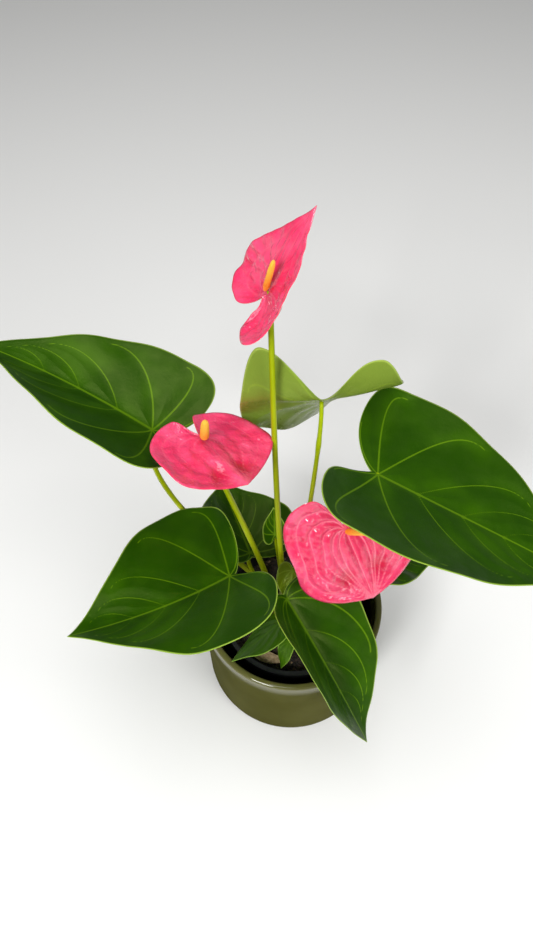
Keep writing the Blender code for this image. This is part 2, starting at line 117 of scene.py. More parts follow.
def new_object(name: str, points: np.ndarray, faces: list, smooth: bool = True) -> bpy.types.Object:
    """Mesh object at the origin.

    Args:
        name: The piece's name.
        points: Vertices, one per row.
        faces: Vertex numbers of each face.
        smooth: Whether its faces are shaded smooth.

    Returns:
        The linked object.
    """
    mesh = bpy.data.meshes.new(name)
    mesh.from_pydata([tuple(point) for point in np.asarray(points, float).tolist()], [], faces)
    mesh.validate()
    if smooth:
        mesh.shade_smooth()
    mesh.update()
    item = bpy.data.objects.new(name, mesh)
    bpy.context.scene.collection.objects.link(item)
    return item


def store(item: bpy.types.Object, name: str, values: np.ndarray) -> None:
    """Keep one number per vertex as a named attribute.

    Args:
        item: The mesh object.
        name: The attribute's name.
        values: One number per vertex.
    """
    attribute = item.data.attributes.new(name, "FLOAT", "POINT")
    attribute.data.foreach_set("value", np.asarray(values, np.float32))


def vertex_normals(points: np.ndarray, quads: np.ndarray) -> np.ndarray:
    """Unit normals of a surface of quads.

    Args:
        points: Vertices, one per row.
        quads: Four vertex numbers per row; a triangle repeats its first.

    Returns:
        One normal per vertex.
    """
    across = points[quads[:, 2]] - points[quads[:, 0]]
    along = points[quads[:, 3]] - points[quads[:, 1]]
    facing = np.cross(across, along)
    total = np.zeros_like(points)
    for corner in range(4):
        np.add.at(total, quads[:, corner], facing)
    return total / np.maximum(np.linalg.norm(total, axis=1), 1e-12)[:, None]


def tube(name: str, path: np.ndarray, radii: np.ndarray, sides: int) -> bpy.types.Object:
    """Closed round tube along a path, with its place along the path kept as "along".

    Args:
        name: The piece's name.
        path: Points of its centre line.
        radii: Its radius at each point.
        sides: Number of sides.

    Returns:
        The tube.
    """
    tangents = np.gradient(path, axis=0)
    tangents /= np.linalg.norm(tangents, axis=1)[:, None]
    side = np.cross(tangents[0], (0.31, 0.95, 0.05))
    rings = []
    for centre, tangent, radius in zip(path, tangents, radii):
        side = side - tangent * side.dot(tangent)
        side /= np.linalg.norm(side)
        other = np.cross(tangent, side)
        angles = np.arange(sides) * tau / sides
        rings.append(centre + radius * (np.outer(np.cos(angles), side) + np.outer(np.sin(angles), other)))
    count = len(path)
    points = np.vstack(rings + [path[:1], path[-1:]])
    faces = []
    for ring in range(count - 1):
        low = ring * sides
        for index in range(sides):
            after = (index + 1) % sides
            faces.append((low + index, low + after, low + sides + after, low + sides + index))
    foot = count * sides
    last = (count - 1) * sides
    for index in range(sides):
        after = (index + 1) % sides
        faces.append((foot, after, index))
        faces.append((foot + 1, last + index, last + after))
    item = new_object(name, points, faces)
    along = np.repeat(np.linspace(0.0, 1.0, count), sides)
    store(item, "along", np.concatenate((along, (0.0, 1.0))))
    return item


def lathe(name: str, profile: np.ndarray, steps: int) -> bpy.types.Object:
    """Closed turned piece about the Z axis.

    Args:
        name: The piece's name.
        profile: Radius and height of each point, from the lower pole to the upper pole.
        steps: Number of steps round.

    Returns:
        The turned piece, with its faces pointing outwards.
    """
    angles = np.arange(steps) * tau / steps
    inner = profile[1:-1]
    rings = [np.column_stack((radius * np.cos(angles), radius * np.sin(angles), np.full(steps, height)))
             for radius, height in inner]
    points = np.vstack(rings + [[(0.0, 0.0, profile[0][1])], [(0.0, 0.0, profile[-1][1])]])
    faces = []
    for ring in range(len(inner) - 1):
        low = ring * steps
        for index in range(steps):
            after = (index + 1) % steps
            faces.append((low + index, low + after, low + steps + after, low + steps + index))
    bottom = len(inner) * steps
    last = (len(inner) - 1) * steps
    for index in range(steps):
        after = (index + 1) % steps
        faces.append((bottom, after, index))
        faces.append((bottom + 1, last + index, last + after))
    return new_object(name, points, faces)


def rounded(corner: tuple[float, float], radius: float, start: float, end: float,
            steps: int) -> list[tuple[float, float]]:
    """Points of an arc of a profile.

    Args:
        corner: Centre of the arc, as radius and height.
        radius: Radius of the arc.
        start: Angle of its first point, degrees from outwards.
        end: Angle of its last point.
        steps: Number of steps.

    Returns:
        Radius and height of each point.
    """
    return [(corner[0] + radius * cos(radians(angle)), corner[1] + radius * sin(radians(angle)))
            for angle in np.linspace(start, end, steps + 1)]


def welded_copy(node: str, name: str, sharp_above: float) -> bpy.types.Object:
    """Smooth-shaded copy of a CAD node's mesh with its loose triangles joined.

    Args:
        node: The CAD node.
        name: The new piece's name.
        sharp_above: Edges that turn more than this, in degrees, stay sharp.

    Returns:
        The copy.
    """
    item = bpy.data.objects.new(name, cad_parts[node].data.copy())
    bpy.context.scene.collection.objects.link(item)
    item.data.materials.clear()
    weld = item.modifiers.new("weld", "WELD")
    weld.merge_threshold = 1e-6
    mesh = plain_mesh(item)
    for attribute in [entry for entry in mesh.attributes if entry.name == "custom_normal"]:
        mesh.attributes.remove(attribute)
    mesh.shade_smooth()
    mesh.set_sharp_from_angle(angle=radians(sharp_above))
    item.data = mesh
    return item


def plain_mesh(item: bpy.types.Object) -> bpy.types.Mesh:
    """Evaluate an object's modifiers into a mesh and take the modifiers off.

    Args:
        item: The object.

    Returns:
        The evaluated mesh, not yet given to the object.
    """
    bpy.context.view_layer.update()
    evaluated = item.evaluated_get(bpy.context.evaluated_depsgraph_get())
    mesh = bpy.data.meshes.new_from_object(evaluated)
    item.modifiers.clear()
    return mesh


def settle(piece: bpy.types.Object, slot: str, *nodes: str) -> bpy.types.Object:
    """Fix a finished piece to the frame and report it.

    Args:
        piece: The finished piece.
        slot: Not used.
        nodes: CAD nodes that it stands for.

    Returns:
        The piece.
    """
    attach(piece, "root")
    if nodes:
        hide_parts(*nodes)
    log.info("%s: %d faces, stands for %s", piece.name, len(piece.data.polygons),
             ", ".join(nodes) or "no node")
    return piece


# ---------------------------------------------------------------- node trees

class ShaderTree:
    """Material whose nodes are added and wired a line at a time."""

    def __init__(self, name: str) -> None:
        """Start a material with an empty Principled shader.

        Args:
            name: The material's name.
        """
        self.material = bpy.data.materials.new(name)
        self.material.use_nodes = True
        self.nodes = self.material.node_tree.nodes
        self.links = self.material.node_tree.links
        self.shader = self.nodes["Principled BSDF"]

    def set(self, **values: float) -> None:
        """Set constants on the shader's own sockets; an underscore in a name stands for a space."""
        for name, value in values.items():
            self.shader.inputs[name.replace("_", " ")].default_value = value

    def feed(self, source: bpy.types.NodeSocket, socket: str) -> None:
        """Wire a source into one of the shader's sockets."""
        self.links.new(source, self.shader.inputs[socket])

    def attribute(self, name: str) -> bpy.types.NodeSocket:
        """Value of a vertex attribute."""
        node = self.nodes.new("ShaderNodeAttribute")
        node.attribute_name = name
        return node.outputs["Fac"]

    def noise(self, scale: float, detail: float = 3.0, roughness: float = 0.5,
              stretch: Colour = (1.0, 1.0, 1.0)) -> bpy.types.NodeSocket:
        """Noise on the piece's own coordinates.

        Args:
            scale: Features per metre.
            detail: Octaves.
            roughness: How strong the fine octaves are.
            stretch: Scale along each axis.

        Returns:
            The noise value.
        """
        place = self.nodes.new("ShaderNodeTexCoord")
        mapping = self.nodes.new("ShaderNodeMapping")
        mapping.inputs["Scale"].default_value = stretch
        texture = self.nodes.new("ShaderNodeTexNoise")
        texture.inputs["Scale"].default_value = scale
        texture.inputs["Detail"].default_value = detail
        texture.inputs["Roughness"].default_value = roughness
        self.links.new(place.outputs["Object"], mapping.inputs["Vector"])
        self.links.new(mapping.outputs["Vector"], texture.inputs["Vector"])
        return texture.outputs["Fac"]

    def ramp(self, source: bpy.types.NodeSocket, low: float, high: float, start: float = 0.0,
             end: float = 1.0) -> bpy.types.NodeSocket:
        """Smooth step of a value.

        Args:
            source: The value.
            low: Where the step starts.
            high: Where it ends; it may be below low.
            start: Result at low.
            end: Result at high.

        Returns:
            The stepped value.
        """
        node = self.nodes.new("ShaderNodeMapRange")
        node.interpolation_type = "SMOOTHSTEP"
        flip = high < low
        node.inputs["From Min"].default_value = high if flip else low
        node.inputs["From Max"].default_value = low if flip else high
        node.inputs["To Min"].default_value = end if flip else start
        node.inputs["To Max"].default_value = start if flip else end
        self.links.new(source, node.inputs["Value"])
        return node.outputs["Result"]

    def times(self, first: bpy.types.NodeSocket,
              second: bpy.types.NodeSocket | float) -> bpy.types.NodeSocket:
        """Product of two values."""
        node = self.nodes.new("ShaderNodeMath")
        node.operation = "MULTIPLY"
        self.links.new(first, node.inputs[0])
        if isinstance(second, float):
            node.inputs[1].default_value = second
        else:
            self.links.new(second, node.inputs[1])
        return node.outputs[0]

    def mix(self, share: bpy.types.NodeSocket, first: Colour | bpy.types.NodeSocket,
            second: Colour | bpy.types.NodeSocket) -> bpy.types.NodeSocket:
        """Mix of two colours.

        Args:
            share: How much of the second.
            first: Colour at 0.
            second: Colour at 1.

        Returns:
            The mixed colour.
        """
        node = self.nodes.new("ShaderNodeMix")
        node.data_type = "RGBA"
        self.links.new(share, node.inputs[0])
        for socket, value in ((node.inputs[6], first), (node.inputs[7], second)):
            if isinstance(value, tuple):
                socket.default_value = (*value, 1.0)
            else:
                self.links.new(value, socket)
        return node.outputs[2]

    def bump(self, height: bpy.types.NodeSocket, distance: float, strength: float = 1.0) -> None:
        """Raise the shader's surface by a height value.

        Args:
            height: The height, from 0 to 1.
            distance: Height in metres at 1.
            strength: Share of the effect.
        """
        node = self.nodes.new("ShaderNodeBump")
        node.inputs["Distance"].default_value = distance
        node.inputs["Strength"].default_value = strength
        self.links.new(height, node.inputs["Height"])
        self.links.new(node.outputs["Normal"], self.shader.inputs["Normal"])
        self.links.new(node.outputs["Normal"], self.shader.inputs["Coat Normal"])


class GeometryTree:
    """Geometry Nodes tree whose nodes are added and wired a line at a time."""

    def __init__(self, name: str, material: bpy.types.Material, sizes: dict[str, float]) -> None:
        """Start a tree.

        Args:
            name: The tree's name.
            material: Material of the finished geometry.
            sizes: Named inputs and their values.
        """
        self.tree = bpy.data.node_groups.new(name, "GeometryNodeTree")
        self.material = material
        self.sizes = sizes
        face = self.tree.interface
        face.new_socket(name="Geometry", in_out="INPUT", socket_type="NodeSocketGeometry")
        for size in sizes:
            face.new_socket(name=size, in_out="INPUT", socket_type="NodeSocketFloat")
        face.new_socket(name="Geometry", in_out="OUTPUT", socket_type="NodeSocketGeometry")
        self.source = self.tree.nodes.new("NodeGroupInput")
        self.target = self.tree.nodes.new("NodeGroupOutput")

    def add(self, kind: str, settings: dict | None = None, **inputs: object) -> bpy.types.Node:
        """Add a node.

        Args:
            kind: The node's type.
            settings: Properties to set on it.
            inputs: Its sockets by name, each a constant or a source socket; an underscore stands for a space.

        Returns:
            The node.
        """
        node = self.tree.nodes.new(kind)
        for name, value in (settings or {}).items():
            setattr(node, name, value)
        for name, value in inputs.items():
            socket = next(entry for entry in node.inputs
                          if entry.name == name.replace("_", " ") and entry.enabled)
            if isinstance(value, bpy.types.NodeSocket):
                self.tree.links.new(value, socket)
            else:
                socket.default_value = value
        return node

    def finish(self, geometry: bpy.types.NodeSocket) -> None:
        """End the tree: realize the instances and give them the material."""
        real = self.add("GeometryNodeRealizeInstances", Geometry=geometry)
        dressed = self.add("GeometryNodeSetMaterial", Geometry=real.outputs[0], Material=self.material)
        self.tree.links.new(dressed.outputs[0], self.target.inputs[0])

    def grow(self, base: bpy.types.Object) -> None:
        """Run the tree on an object and keep the result as its mesh.

        Args:
            base: The object.
        """
        if not base.data.materials:
            base.data.materials.append(self.material)
        modifier = base.modifiers.new(self.tree.name, "NODES")
        modifier.node_group = self.tree
        for socket in self.tree.interface.items_tree:
            if socket.in_out == "INPUT" and socket.name in self.sizes:
                modifier[socket.identifier] = float(self.sizes[socket.name])
        base.data = plain_mesh(base)


# ---------------------------------------------------------------- finishes

@dataclass(frozen=True)
class Glaze:
    """Olive stoneware glaze, paler and glossier on the rim."""
    olive: Colour = (0.060, 0.059, 0.008)
    pale: Colour = (0.125, 0.122, 0.036)
    roughness: float = 0.22

    def material(self) -> bpy.types.Material:
        """Make the glaze."""
        tree = ShaderTree("olive_glaze")
        cloud = tree.ramp(tree.noise(18.0, 4.0), 0.35, 0.70)
        rim = tree.ramp(tree.attribute("rim"), 0.0, 1.0)
        body = tree.mix(tree.times(cloud, 0.35), self.olive, self.pale)
        tree.feed(tree.mix(tree.times(rim, 0.75), body, self.pale), "Base Color")
        tree.feed(tree.ramp(tree.attribute("rim"), 0.0, 0.6, 0.06, 0.9), "Coat Weight")
        tree.set(Roughness=self.roughness, Specular_IOR_Level=0.0, Coat_Roughness=0.05, Coat_IOR=1.6)
        tree.bump(tree.noise(90.0, 2.0), 0.00012)
        return tree.material


@dataclass(frozen=True)
class PotPlastic:
    """Thin black pot plastic."""
    colour: Colour = (0.010, 0.011, 0.012)
    roughness: float = 0.32

    def material(self) -> bpy.types.Material:
        """Make the plastic."""
        tree = ShaderTree("pot_plastic")
        tree.set(Base_Color=(*self.colour, 1.0))
        tree.feed(tree.ramp(tree.noise(140.0), 0.3, 0.7, self.roughness, self.roughness + 0.15), "Roughness")
        tree.bump(tree.noise(700.0, 2.0), 0.00003)
        return tree.material


@dataclass(frozen=True)
class Earth:
    """Damp dark peat with a few paler fibres."""
    dark: Colour = (0.008, 0.006, 0.004)
    brown: Colour = (0.045, 0.027, 0.014)
    pale: Colour = (0.20, 0.13, 0.07)

    def material(self) -> bpy.types.Material:
        """Make the soil."""
        tree = ShaderTree("damp_peat")
        grain = tree.ramp(tree.noise(420.0, 5.0, 0.65), 0.38, 0.68)
        soil = tree.mix(grain, self.dark, self.brown)
        tree.feed(tree.mix(tree.ramp(tree.attribute("shade"), 0.93, 0.97), soil, self.pale), "Base Color")
        tree.set(Roughness=0.88)
        tree.bump(tree.noise(900.0, 4.0), 0.0006)
        return tree.material


@dataclass(frozen=True)
class LeafSkin:
    """Leathery leaf surface with paler veins and a thin pale margin."""
    name: str
    deep: Colour
    fresh: Colour
    vein: Colour
    margin: Colour
    under: Colour
    roughness: float = 0.30
    vein_strength: float = 0.66

    def material(self) -> bpy.types.Material:
        """Make the leaf surface."""
        tree = ShaderTree(self.name)
        cloud = tree.ramp(tree.noise(38.0, 3.0), 0.32, 0.72)
        near = tree.ramp(tree.attribute("near"), 9.0, 0.6)
        glow = tree.mix(near, (0.30, 0.30, 0.30), (0.70, 0.70, 0.70))
        body = tree.mix(tree.times(cloud, glow), self.deep, self.fresh)
        line = tree.times(tree.ramp(tree.attribute("vein"), 1.9, 0.55), self.vein_strength)
        upper = tree.mix(line, body, self.vein)
        lower = tree.mix(line, self.under, self.vein)
        skin = tree.mix(tree.attribute("under"), upper, lower)
        hem = tree.times(tree.ramp(tree.attribute("edge"), 1.0, 0.25), 0.85)
        tree.feed(tree.mix(hem, skin, self.margin), "Base Color")
        tree.feed(tree.ramp(tree.noise(120.0, 3.0), 0.3, 0.75, self.roughness - 0.05, self.roughness + 0.10),
                  "Roughness")
        tree.set(Specular_IOR_Level=0.25, Specular_Tint=(0.85, 1.0, 0.30, 1.0))
        tree.bump(tree.noise(520.0, 4.0, 0.6), 0.00010)
        return tree.material


@dataclass(frozen=True)
class SpatheSkin:
    """Waxy pink spathe with a painted highlight on its ribs and painted shade beside them, round the notch
    and in the hollows beside the tip.
    """
    pink: Colour = (0.80, 0.034, 0.125)
    light: Colour = (0.90, 0.085, 0.200)
    # Colour of the painted shade round the notch, in the hollows beside the tip and in the creases beside the
    # ribs.
    shade_crimson: Colour = (0.56, 0.004, 0.040)
    # Colour of the painted highlight along the ribs.
    rib: Colour = (0.95, 0.20, 0.28)
    margin: Colour = (0.72, 0.035, 0.075)
    under: Colour = (0.78, 0.14, 0.14)
    roughness: float = 0.22

    def material(self, name: str) -> bpy.types.Material:
        """Make the spathe's surface.

        Args:
            name: The material's name.
        """
        tree = ShaderTree(name)
        cloud = tree.ramp(tree.noise(75.0, 3.0), 0.35, 0.70)
        body = tree.mix(cloud, self.pink, self.light)
        # Painted shade round the notch and in the hollows beside the tip, read from the deep attribute.
        core = tree.times(tree.ramp(tree.attribute("deep"), 0.0, 1.0), 0.85)
        body = tree.mix(core, body, self.shade_crimson)
        # Painted shade in the creases a few millimetres beside each rib.
        crease_shade = tree.times(tree.ramp(tree.attribute("near"), 0.9, 2.4),
                            tree.ramp(tree.attribute("near"), 5.5, 2.4))
        body = tree.mix(tree.times(tree.times(crease_shade, 0.26), tree.attribute("bold")), body, self.shade_crimson)
        # Painted highlight along the ribs.
        line = tree.times(tree.ramp(tree.attribute("near"), 0.75, 0.15), 0.60)
        line = tree.times(line, tree.attribute("bold"))
        upper = tree.mix(line, body, self.rib)
        skin = tree.mix(tree.attribute("under"), upper, self.under)
        hem = tree.times(tree.ramp(tree.attribute("edge"), 0.8, 0.2), 0.5)
        tree.feed(tree.mix(hem, skin, self.margin), "Base Color")
        tree.feed(tree.ramp(tree.noise(160.0, 3.0), 0.3, 0.75, self.roughness - 0.06, self.roughness + 0.10),
                  "Roughness")
        tree.set(Specular_IOR_Level=0.35, Coat_Weight=0.7, Coat_Roughness=0.09, Subsurface_Weight=0.22,
                 Subsurface_Scale=0.003, Subsurface_Radius=(1.0, 0.12, 0.20))
        tree.bump(tree.noise(170.0, 3.0, 0.5), 0.0011)
        return tree.material


@dataclass(frozen=True)
class StalkSkin:
    """Smooth yellow-green stalk, paler towards its foot."""
    green: Colour = (0.34, 0.40, 0.001)
    foot: Colour = (0.42, 0.46, 0.04)
    top: Colour = (0.30, 0.39, 0.002)

    def material(self) -> bpy.types.Material:
        """Make the stalk's surface."""
        tree = ShaderTree("stalk_skin")
        low = tree.ramp(tree.attribute("along"), 0.30, 0.0)
        high = tree.ramp(tree.attribute("along"), 0.6, 1.0)
        body = tree.mix(low, self.green, self.foot)
        body = tree.mix(high, body, self.top)
        streak = tree.times(tree.ramp(tree.noise(260.0, 3.0, 0.5, (1.0, 1.0, 0.08)), 0.35, 0.75), 0.35)
        tree.feed(tree.mix(streak, body, (0.24, 0.33, 0.001)), "Base Color")
        tree.set(Roughness=0.36, Specular_IOR_Level=0.25, Specular_Tint=(1.0, 1.0, 0.35, 1.0))
        tree.bump(tree.noise(600.0, 3.0), 0.00008)
        return tree.material


@dataclass(frozen=True)
class SpadixSkin:
    """Mealy yellow spadix, more orange towards its foot."""
    foot: Colour = (0.95, 0.27, 0.020)
    tip: Colour = (0.93, 0.50, 0.045)

    def material(self) -> bpy.types.Material:
        """Make the spadix's surface."""
        tree = ShaderTree("spadix_skin")
        tree.feed(tree.mix(tree.ramp(tree.attribute("along"), 0.0, 0.8), self.foot, self.tip), "Base Color")
        tree.set(Roughness=0.5, Subsurface_Weight=0.15, Subsurface_Scale=0.001)
        return tree.material


@dataclass(frozen=True)
class DryScale:
    """Papery scale skin with long fibres."""
    name: str
    colour: Colour
    streak: Colour

    def material(self) -> bpy.types.Material:
        """Make the scale's surface."""
        tree = ShaderTree(self.name)
        fibre = tree.ramp(tree.noise(500.0, 4.0, 0.6, (1.0, 1.0, 0.12)), 0.35, 0.70)
        tree.feed(tree.mix(fibre, self.colour, self.streak), "Base Color")
        tree.set(Roughness=0.55)
        tree.bump(fibre, 0.00015)
        return tree.material


# ---------------------------------------------------------------- the plant's shapes

@dataclass(frozen=True)
class Blade:
    """Heart-shaped blade: the joint's place above the soil, how it turns, and its own shape."""
    joint: tuple[float, float, float]
    heading: float          # compass direction of the midrib, degrees from +X
    pitch: float            # rise of the midrib, degrees
    roll: float             # turn about the midrib, degrees
    length: float           # notch to tip
    width: float
    lobe: float             # how far the lobes reach behind the notch
    shoulder: float         # place of the widest point, as a share of the length
    lobe_out: float         # half distance between the lobes' backs, as a share of the half width
    fold: tuple[float, float]   # rise of the left and right half from the midrib
    lift: float             # rise of the lobes behind the notch
    droop: float            # how far the midrib bends down, radians
    cup: float              # curl of the sides
    twist: float            # turn of the blade from the joint to the tip
    tip: float              # fullness of the sides near the tip

    def axes(self) -> np.ndarray:
        """Unit axes in rows: along the midrib, to its left, and up from the upper side."""
        heading = radians(self.heading)
        pitch = radians(self.pitch)
        along = np.array((cos(heading) * cos(pitch), sin(heading) * cos(pitch), sin(pitch)))
        level = np.array((-sin(heading), cos(heading), 0.0))
        up = np.cross(along, level)
        left = level * cos(radians(self.roll)) + up * sin(radians(self.roll))
        return np.array((along, left, np.cross(along, left)))

    def hub(self) -> float:
        """Distance of the stalk's joint ahead of the notch."""
        return HUB_OFFSET * min(1.0, self.length / 0.05)

    def half_outline(self, count: int) -> np.ndarray:
        """Flat outline of the left half, from the notch round the lobe to the tip.

        Args:
            count: Number of points.

        Returns:
            Place along the midrib and to its left, one point per row.
        """
        half = 0.5 * self.width
        lobe_y = self.lobe_out * half
        widest = self.shoulder * self.length
        ahead = self.length - widest
        back = (-self.lobe, lobe_y)
        side = (widest, half)
        curves = (
            ((0.0, 0.0), (-0.35 * self.lobe, 0.10 * half), (-self.lobe, 0.45 * lobe_y), back),
            (back, (-self.lobe, lobe_y + 0.62 * (half - lobe_y)),
             (widest - 0.62 * (widest + self.lobe), half), side),
            (side, (widest + 0.42 * ahead, half),
             (self.length - 0.42 * ahead, self.tip * half), (self.length, 0.0)),
        )
        fine = np.linspace(0.0, 1.0, 160)
        path = np.vstack([cubic(np.array(guides), fine)[(0 if first else 1):] for first, guides
                          in zip((True, False, False), curves)])
        return evenly_spaced(path, count)

    def place(self, flat: np.ndarray, raised: np.ndarray | float = 0.0) -> np.ndarray:
        """World points of the blade's middle surface.

        Args:
            flat: Places along the midrib and to its left.
            raised: Extra height over the smooth surface.

        Returns:
            One point per row.
        """
        x, y = flat[:, 0], flat[:, 1]
        fold = np.where(y > 0, self.fold[0], self.fold[1])
        rise = fold * (np.hypot(y, MIDRIB_HALF_WIDTH) - MIDRIB_HALF_WIDTH)
        rise = rise + self.cup * y * y / (0.5 * self.width) + self.twist * x * y / (0.5 * self.width)
        rise = rise + np.where(x < 0, self.lift * x * x / self.lobe, 0.0) + raised
        bend = self.droop / self.length
        if abs(self.droop) > 1e-6:
            forward = np.sin(bend * x) / bend + rise * np.sin(bend * x)
            upward = (np.cos(bend * x) - 1) / bend + rise * np.cos(bend * x)
        else:
            forward, upward = x, rise
        along, left, up = self.axes()
        start = np.array((self.joint[0], self.joint[1], SOIL_TOP + self.joint[2]))
        return start + np.outer(forward, along) + np.outer(y, left) + np.outer(upward, up)


@dataclass(frozen=True)
class Stalk:
    """Stalk from the soil to a blade's joint."""
    foot: tuple[float, float]
    lean: tuple[float, float, float]
    bend: tuple[float, float, float]
    foot_radius: float
    top_radius: float

    def guides(self, blade: Blade) -> np.ndarray:
        """Four guide points of its curve, from the soil to its seat under the blade.

        Args:
            blade: The blade that it carries.
        """
        up = blade.axes()[2]
        seat = blade.place(np.array(((blade.hub(), 0.0),)))[0]
        raise_by = np.array((0.0, 0.0, SOIL_TOP))
        foot = np.array((*self.foot, SOIL_TOP))
        return np.array((foot, np.array(self.lean) + raise_by, np.array(self.bend) + raise_by,
                         seat - up * 0.5 * BLADE_THICKNESS))


@dataclass(frozen=True)
class Leaf:
    """A leaf: its blade, its petiole and its age."""
    name: str
    blade: Blade
    stalk: Stalk
    age: LeafAge = LeafAge.MATURE


@dataclass(frozen=True)
class Flower:
    """A flower: spathe, peduncle and spadix."""
    name: str
    blade: Blade
    stalk: Stalk
    spadix_axis: tuple[float, float, float]
    spadix_length: float
    spadix_radius: float


LEAVES = (
    Leaf("upper_left",
         Blade((-0.078, 0.026, 0.183), 154, 20, 14, 0.115, 0.090, 0.015, 0.05, 0.60,
               (0.33, 0.33), 0.2, 0.23, 0.10, 0.0, 0.57),
         Stalk((-0.0125, 0.0165), (-0.056, 0.042, 0.030), (-0.098, 0.024, 0.142), 0.0021, 0.0014)),
    Leaf("lower_left",
         Blade((-0.037, -0.023, 0.110), 210, -4, 23, 0.103, 0.114, 0.014, 0.14, 0.55,
               (0.20, 0.36), 0.5, -0.40, 0.0, -0.08, 0.50),
         Stalk((-0.012, 0.002), (-0.020, -0.014, 0.045), (-0.034, -0.033, 0.086), 0.0021, 0.0014)),
    Leaf("right",
         Blade((0.037, -0.003, 0.187), -27, -9, -20, 0.119, 0.122, 0.019, 0.0, 0.60,
               (0.12, 0.0), 0.38, 0.0, 0.18, 0.08, 0.80),
         Stalk((0.001, 0.017), (0.030, 0.026, 0.085), (0.039, 0.018, 0.160), 0.0021, 0.0014)),
    Leaf("front",
         Blade((-0.008, -0.030, 0.095), -49, -41, -13, 0.122, 0.061, 0.006, 0.13, 0.45,
               (0.66, 0.77), 0.2, 0.15, 0.24, 0.0, 0.76),
         Stalk((-0.0075, -0.0015), (-0.004, -0.011, 0.045), (-0.0214, -0.0235, 0.073), 0.0020, 0.0014)),
    Leaf("back",
         Blade((-0.0284, 0.0154, 0.057), 112, 8, 18, 0.062, 0.070, 0.004, 0.30, 0.49,
               (0.40, 0.24), 0.1, 0.0, 0.20, 0.0, 0.69),
         Stalk((-0.019, 0.0135), (-0.024, 0.018, 0.020), (-0.035, 0.019, 0.043), 0.0018, 0.0013)),
    Leaf("top_young",
         Blade((0.0112, 0.0265, 0.2105), 86, -55, -6, 0.077, 0.088, 0.020, 0.20, 0.68,
               (-0.02, 0.05), 0.90, 0.0, 0.07, -0.40, 0.50),
         Stalk((0.004, 0.012), (0.0065, 0.014, 0.110), (0.012, 0.011, 0.194), 0.0019, 0.0012),
         LeafAge.YOUNG),
    Leaf("right_rear",
         Blade((0.044, -0.004, 0.096), 8, -14, -12, 0.052, 0.052, 0.010, 0.15, 0.55,
               (0.02, 0.03), 0.1, 0.3, 0.0, 0.0, 0.52),
         Stalk((0.010, 0.008), (0.022, 0.008, 0.050), (0.0435, -0.0085, 0.075), 0.0018, 0.0012)),
    Leaf("low_small",
         Blade((-0.006, -0.026, 0.050), 215, -26, 36, 0.047, 0.034, 0.007, 0.28, 0.50,
               (0.09, -0.11), 0.1, -0.14, -0.08, 0.0, 0.48),
         Stalk((-0.009, -0.010), (-0.007, -0.014, 0.020), (-0.0006, -0.0316, 0.039), 0.0014, 0.0010),
         LeafAge.SMALL),
    Leaf("sprout",
         Blade((-0.003, -0.039, 0.043), 232, -46, 12, 0.028, 0.012, 0.002, 0.22, 0.55,
               (0.11, 0.12), 0.1, 0.7, 0.0, 0.0, 0.60),
         Stalk((-0.001, -0.028), (-0.001, -0.032, 0.018), (0.0027, -0.0355, 0.034), 0.0012, 0.0008),
         LeafAge.SMALL),
    Leaf("centre_young",
         Blade((-0.001, -0.003, 0.078), -100, -35, 8, 0.026, 0.020, 0.003, 0.25, 0.50,
               (0.15, 0.15), 0.1, 0.2, 0.0, 0.0, 0.55),
         Stalk((0.004, -0.002), (0.005, 0.000, 0.040), (0.0023, 0.0034, 0.0645), 0.0013, 0.0009),
         LeafAge.YOUNG),
    Leaf("bud",
         Blade((-0.0125, 0.016, 0.085), 95, 58, -10, 0.022, 0.016, 0.005, 0.20, 0.50,
               (0.55, 0.75), 0.1, 0.0, 0.0, 0.0, 0.55),
         Stalk((-0.006, 0.0165), (-0.008, 0.0125, 0.040), (-0.0125, 0.0195, 0.070), 0.0012, 0.0009)),
)

FLOWERS = (
    Flower("top",
           Blade((-0.018, 0.033, 0.274), 17, 64, 0, 0.048, 0.054, 0.012, -0.10, 0.43,
                 (-0.38, -0.08), 0.73, 0.0, 0.45, 0.19, 0.35),
           Stalk((-0.003, 0.0015), (-0.013, 0.001, 0.110), (-0.0145, 0.017, 0.237), 0.0020, 0.0014),
           (0.17, -0.26, 0.95), 0.021, 0.0016),
    Flower("left",
           Blade((-0.0534, 0.0095, 0.2025), -47, -4, -28, 0.039, 0.066, 0.013, 0.31, 0.27,
                 (-0.20, -0.52), 0.16, 0.0, 0.36, 0.0, 1.15),
           Stalk((-0.0135, 0.0085), (-0.015, 0.003, 0.055), (-0.038, 0.006, 0.140), 0.0022, 0.0014),
           (0.10, -0.33, 0.94), 0.024, 0.0025),
    Flower("right",
           Blade((0.0252, -0.0125, 0.148), -45, -59, 25, 0.058, 0.071, 0.028, 0.19, 0.37,
                 (0.60, 0.29), 0.22, 0.0, -0.43, -0.10, 1.35),
           Stalk((0.004, 0.0045), (0.009, 0.001, 0.060), (0.018, 0.012, 0.120), 0.0021, 0.0014),
           (0.66, -0.42, 0.62), 0.016, 0.0020),
)

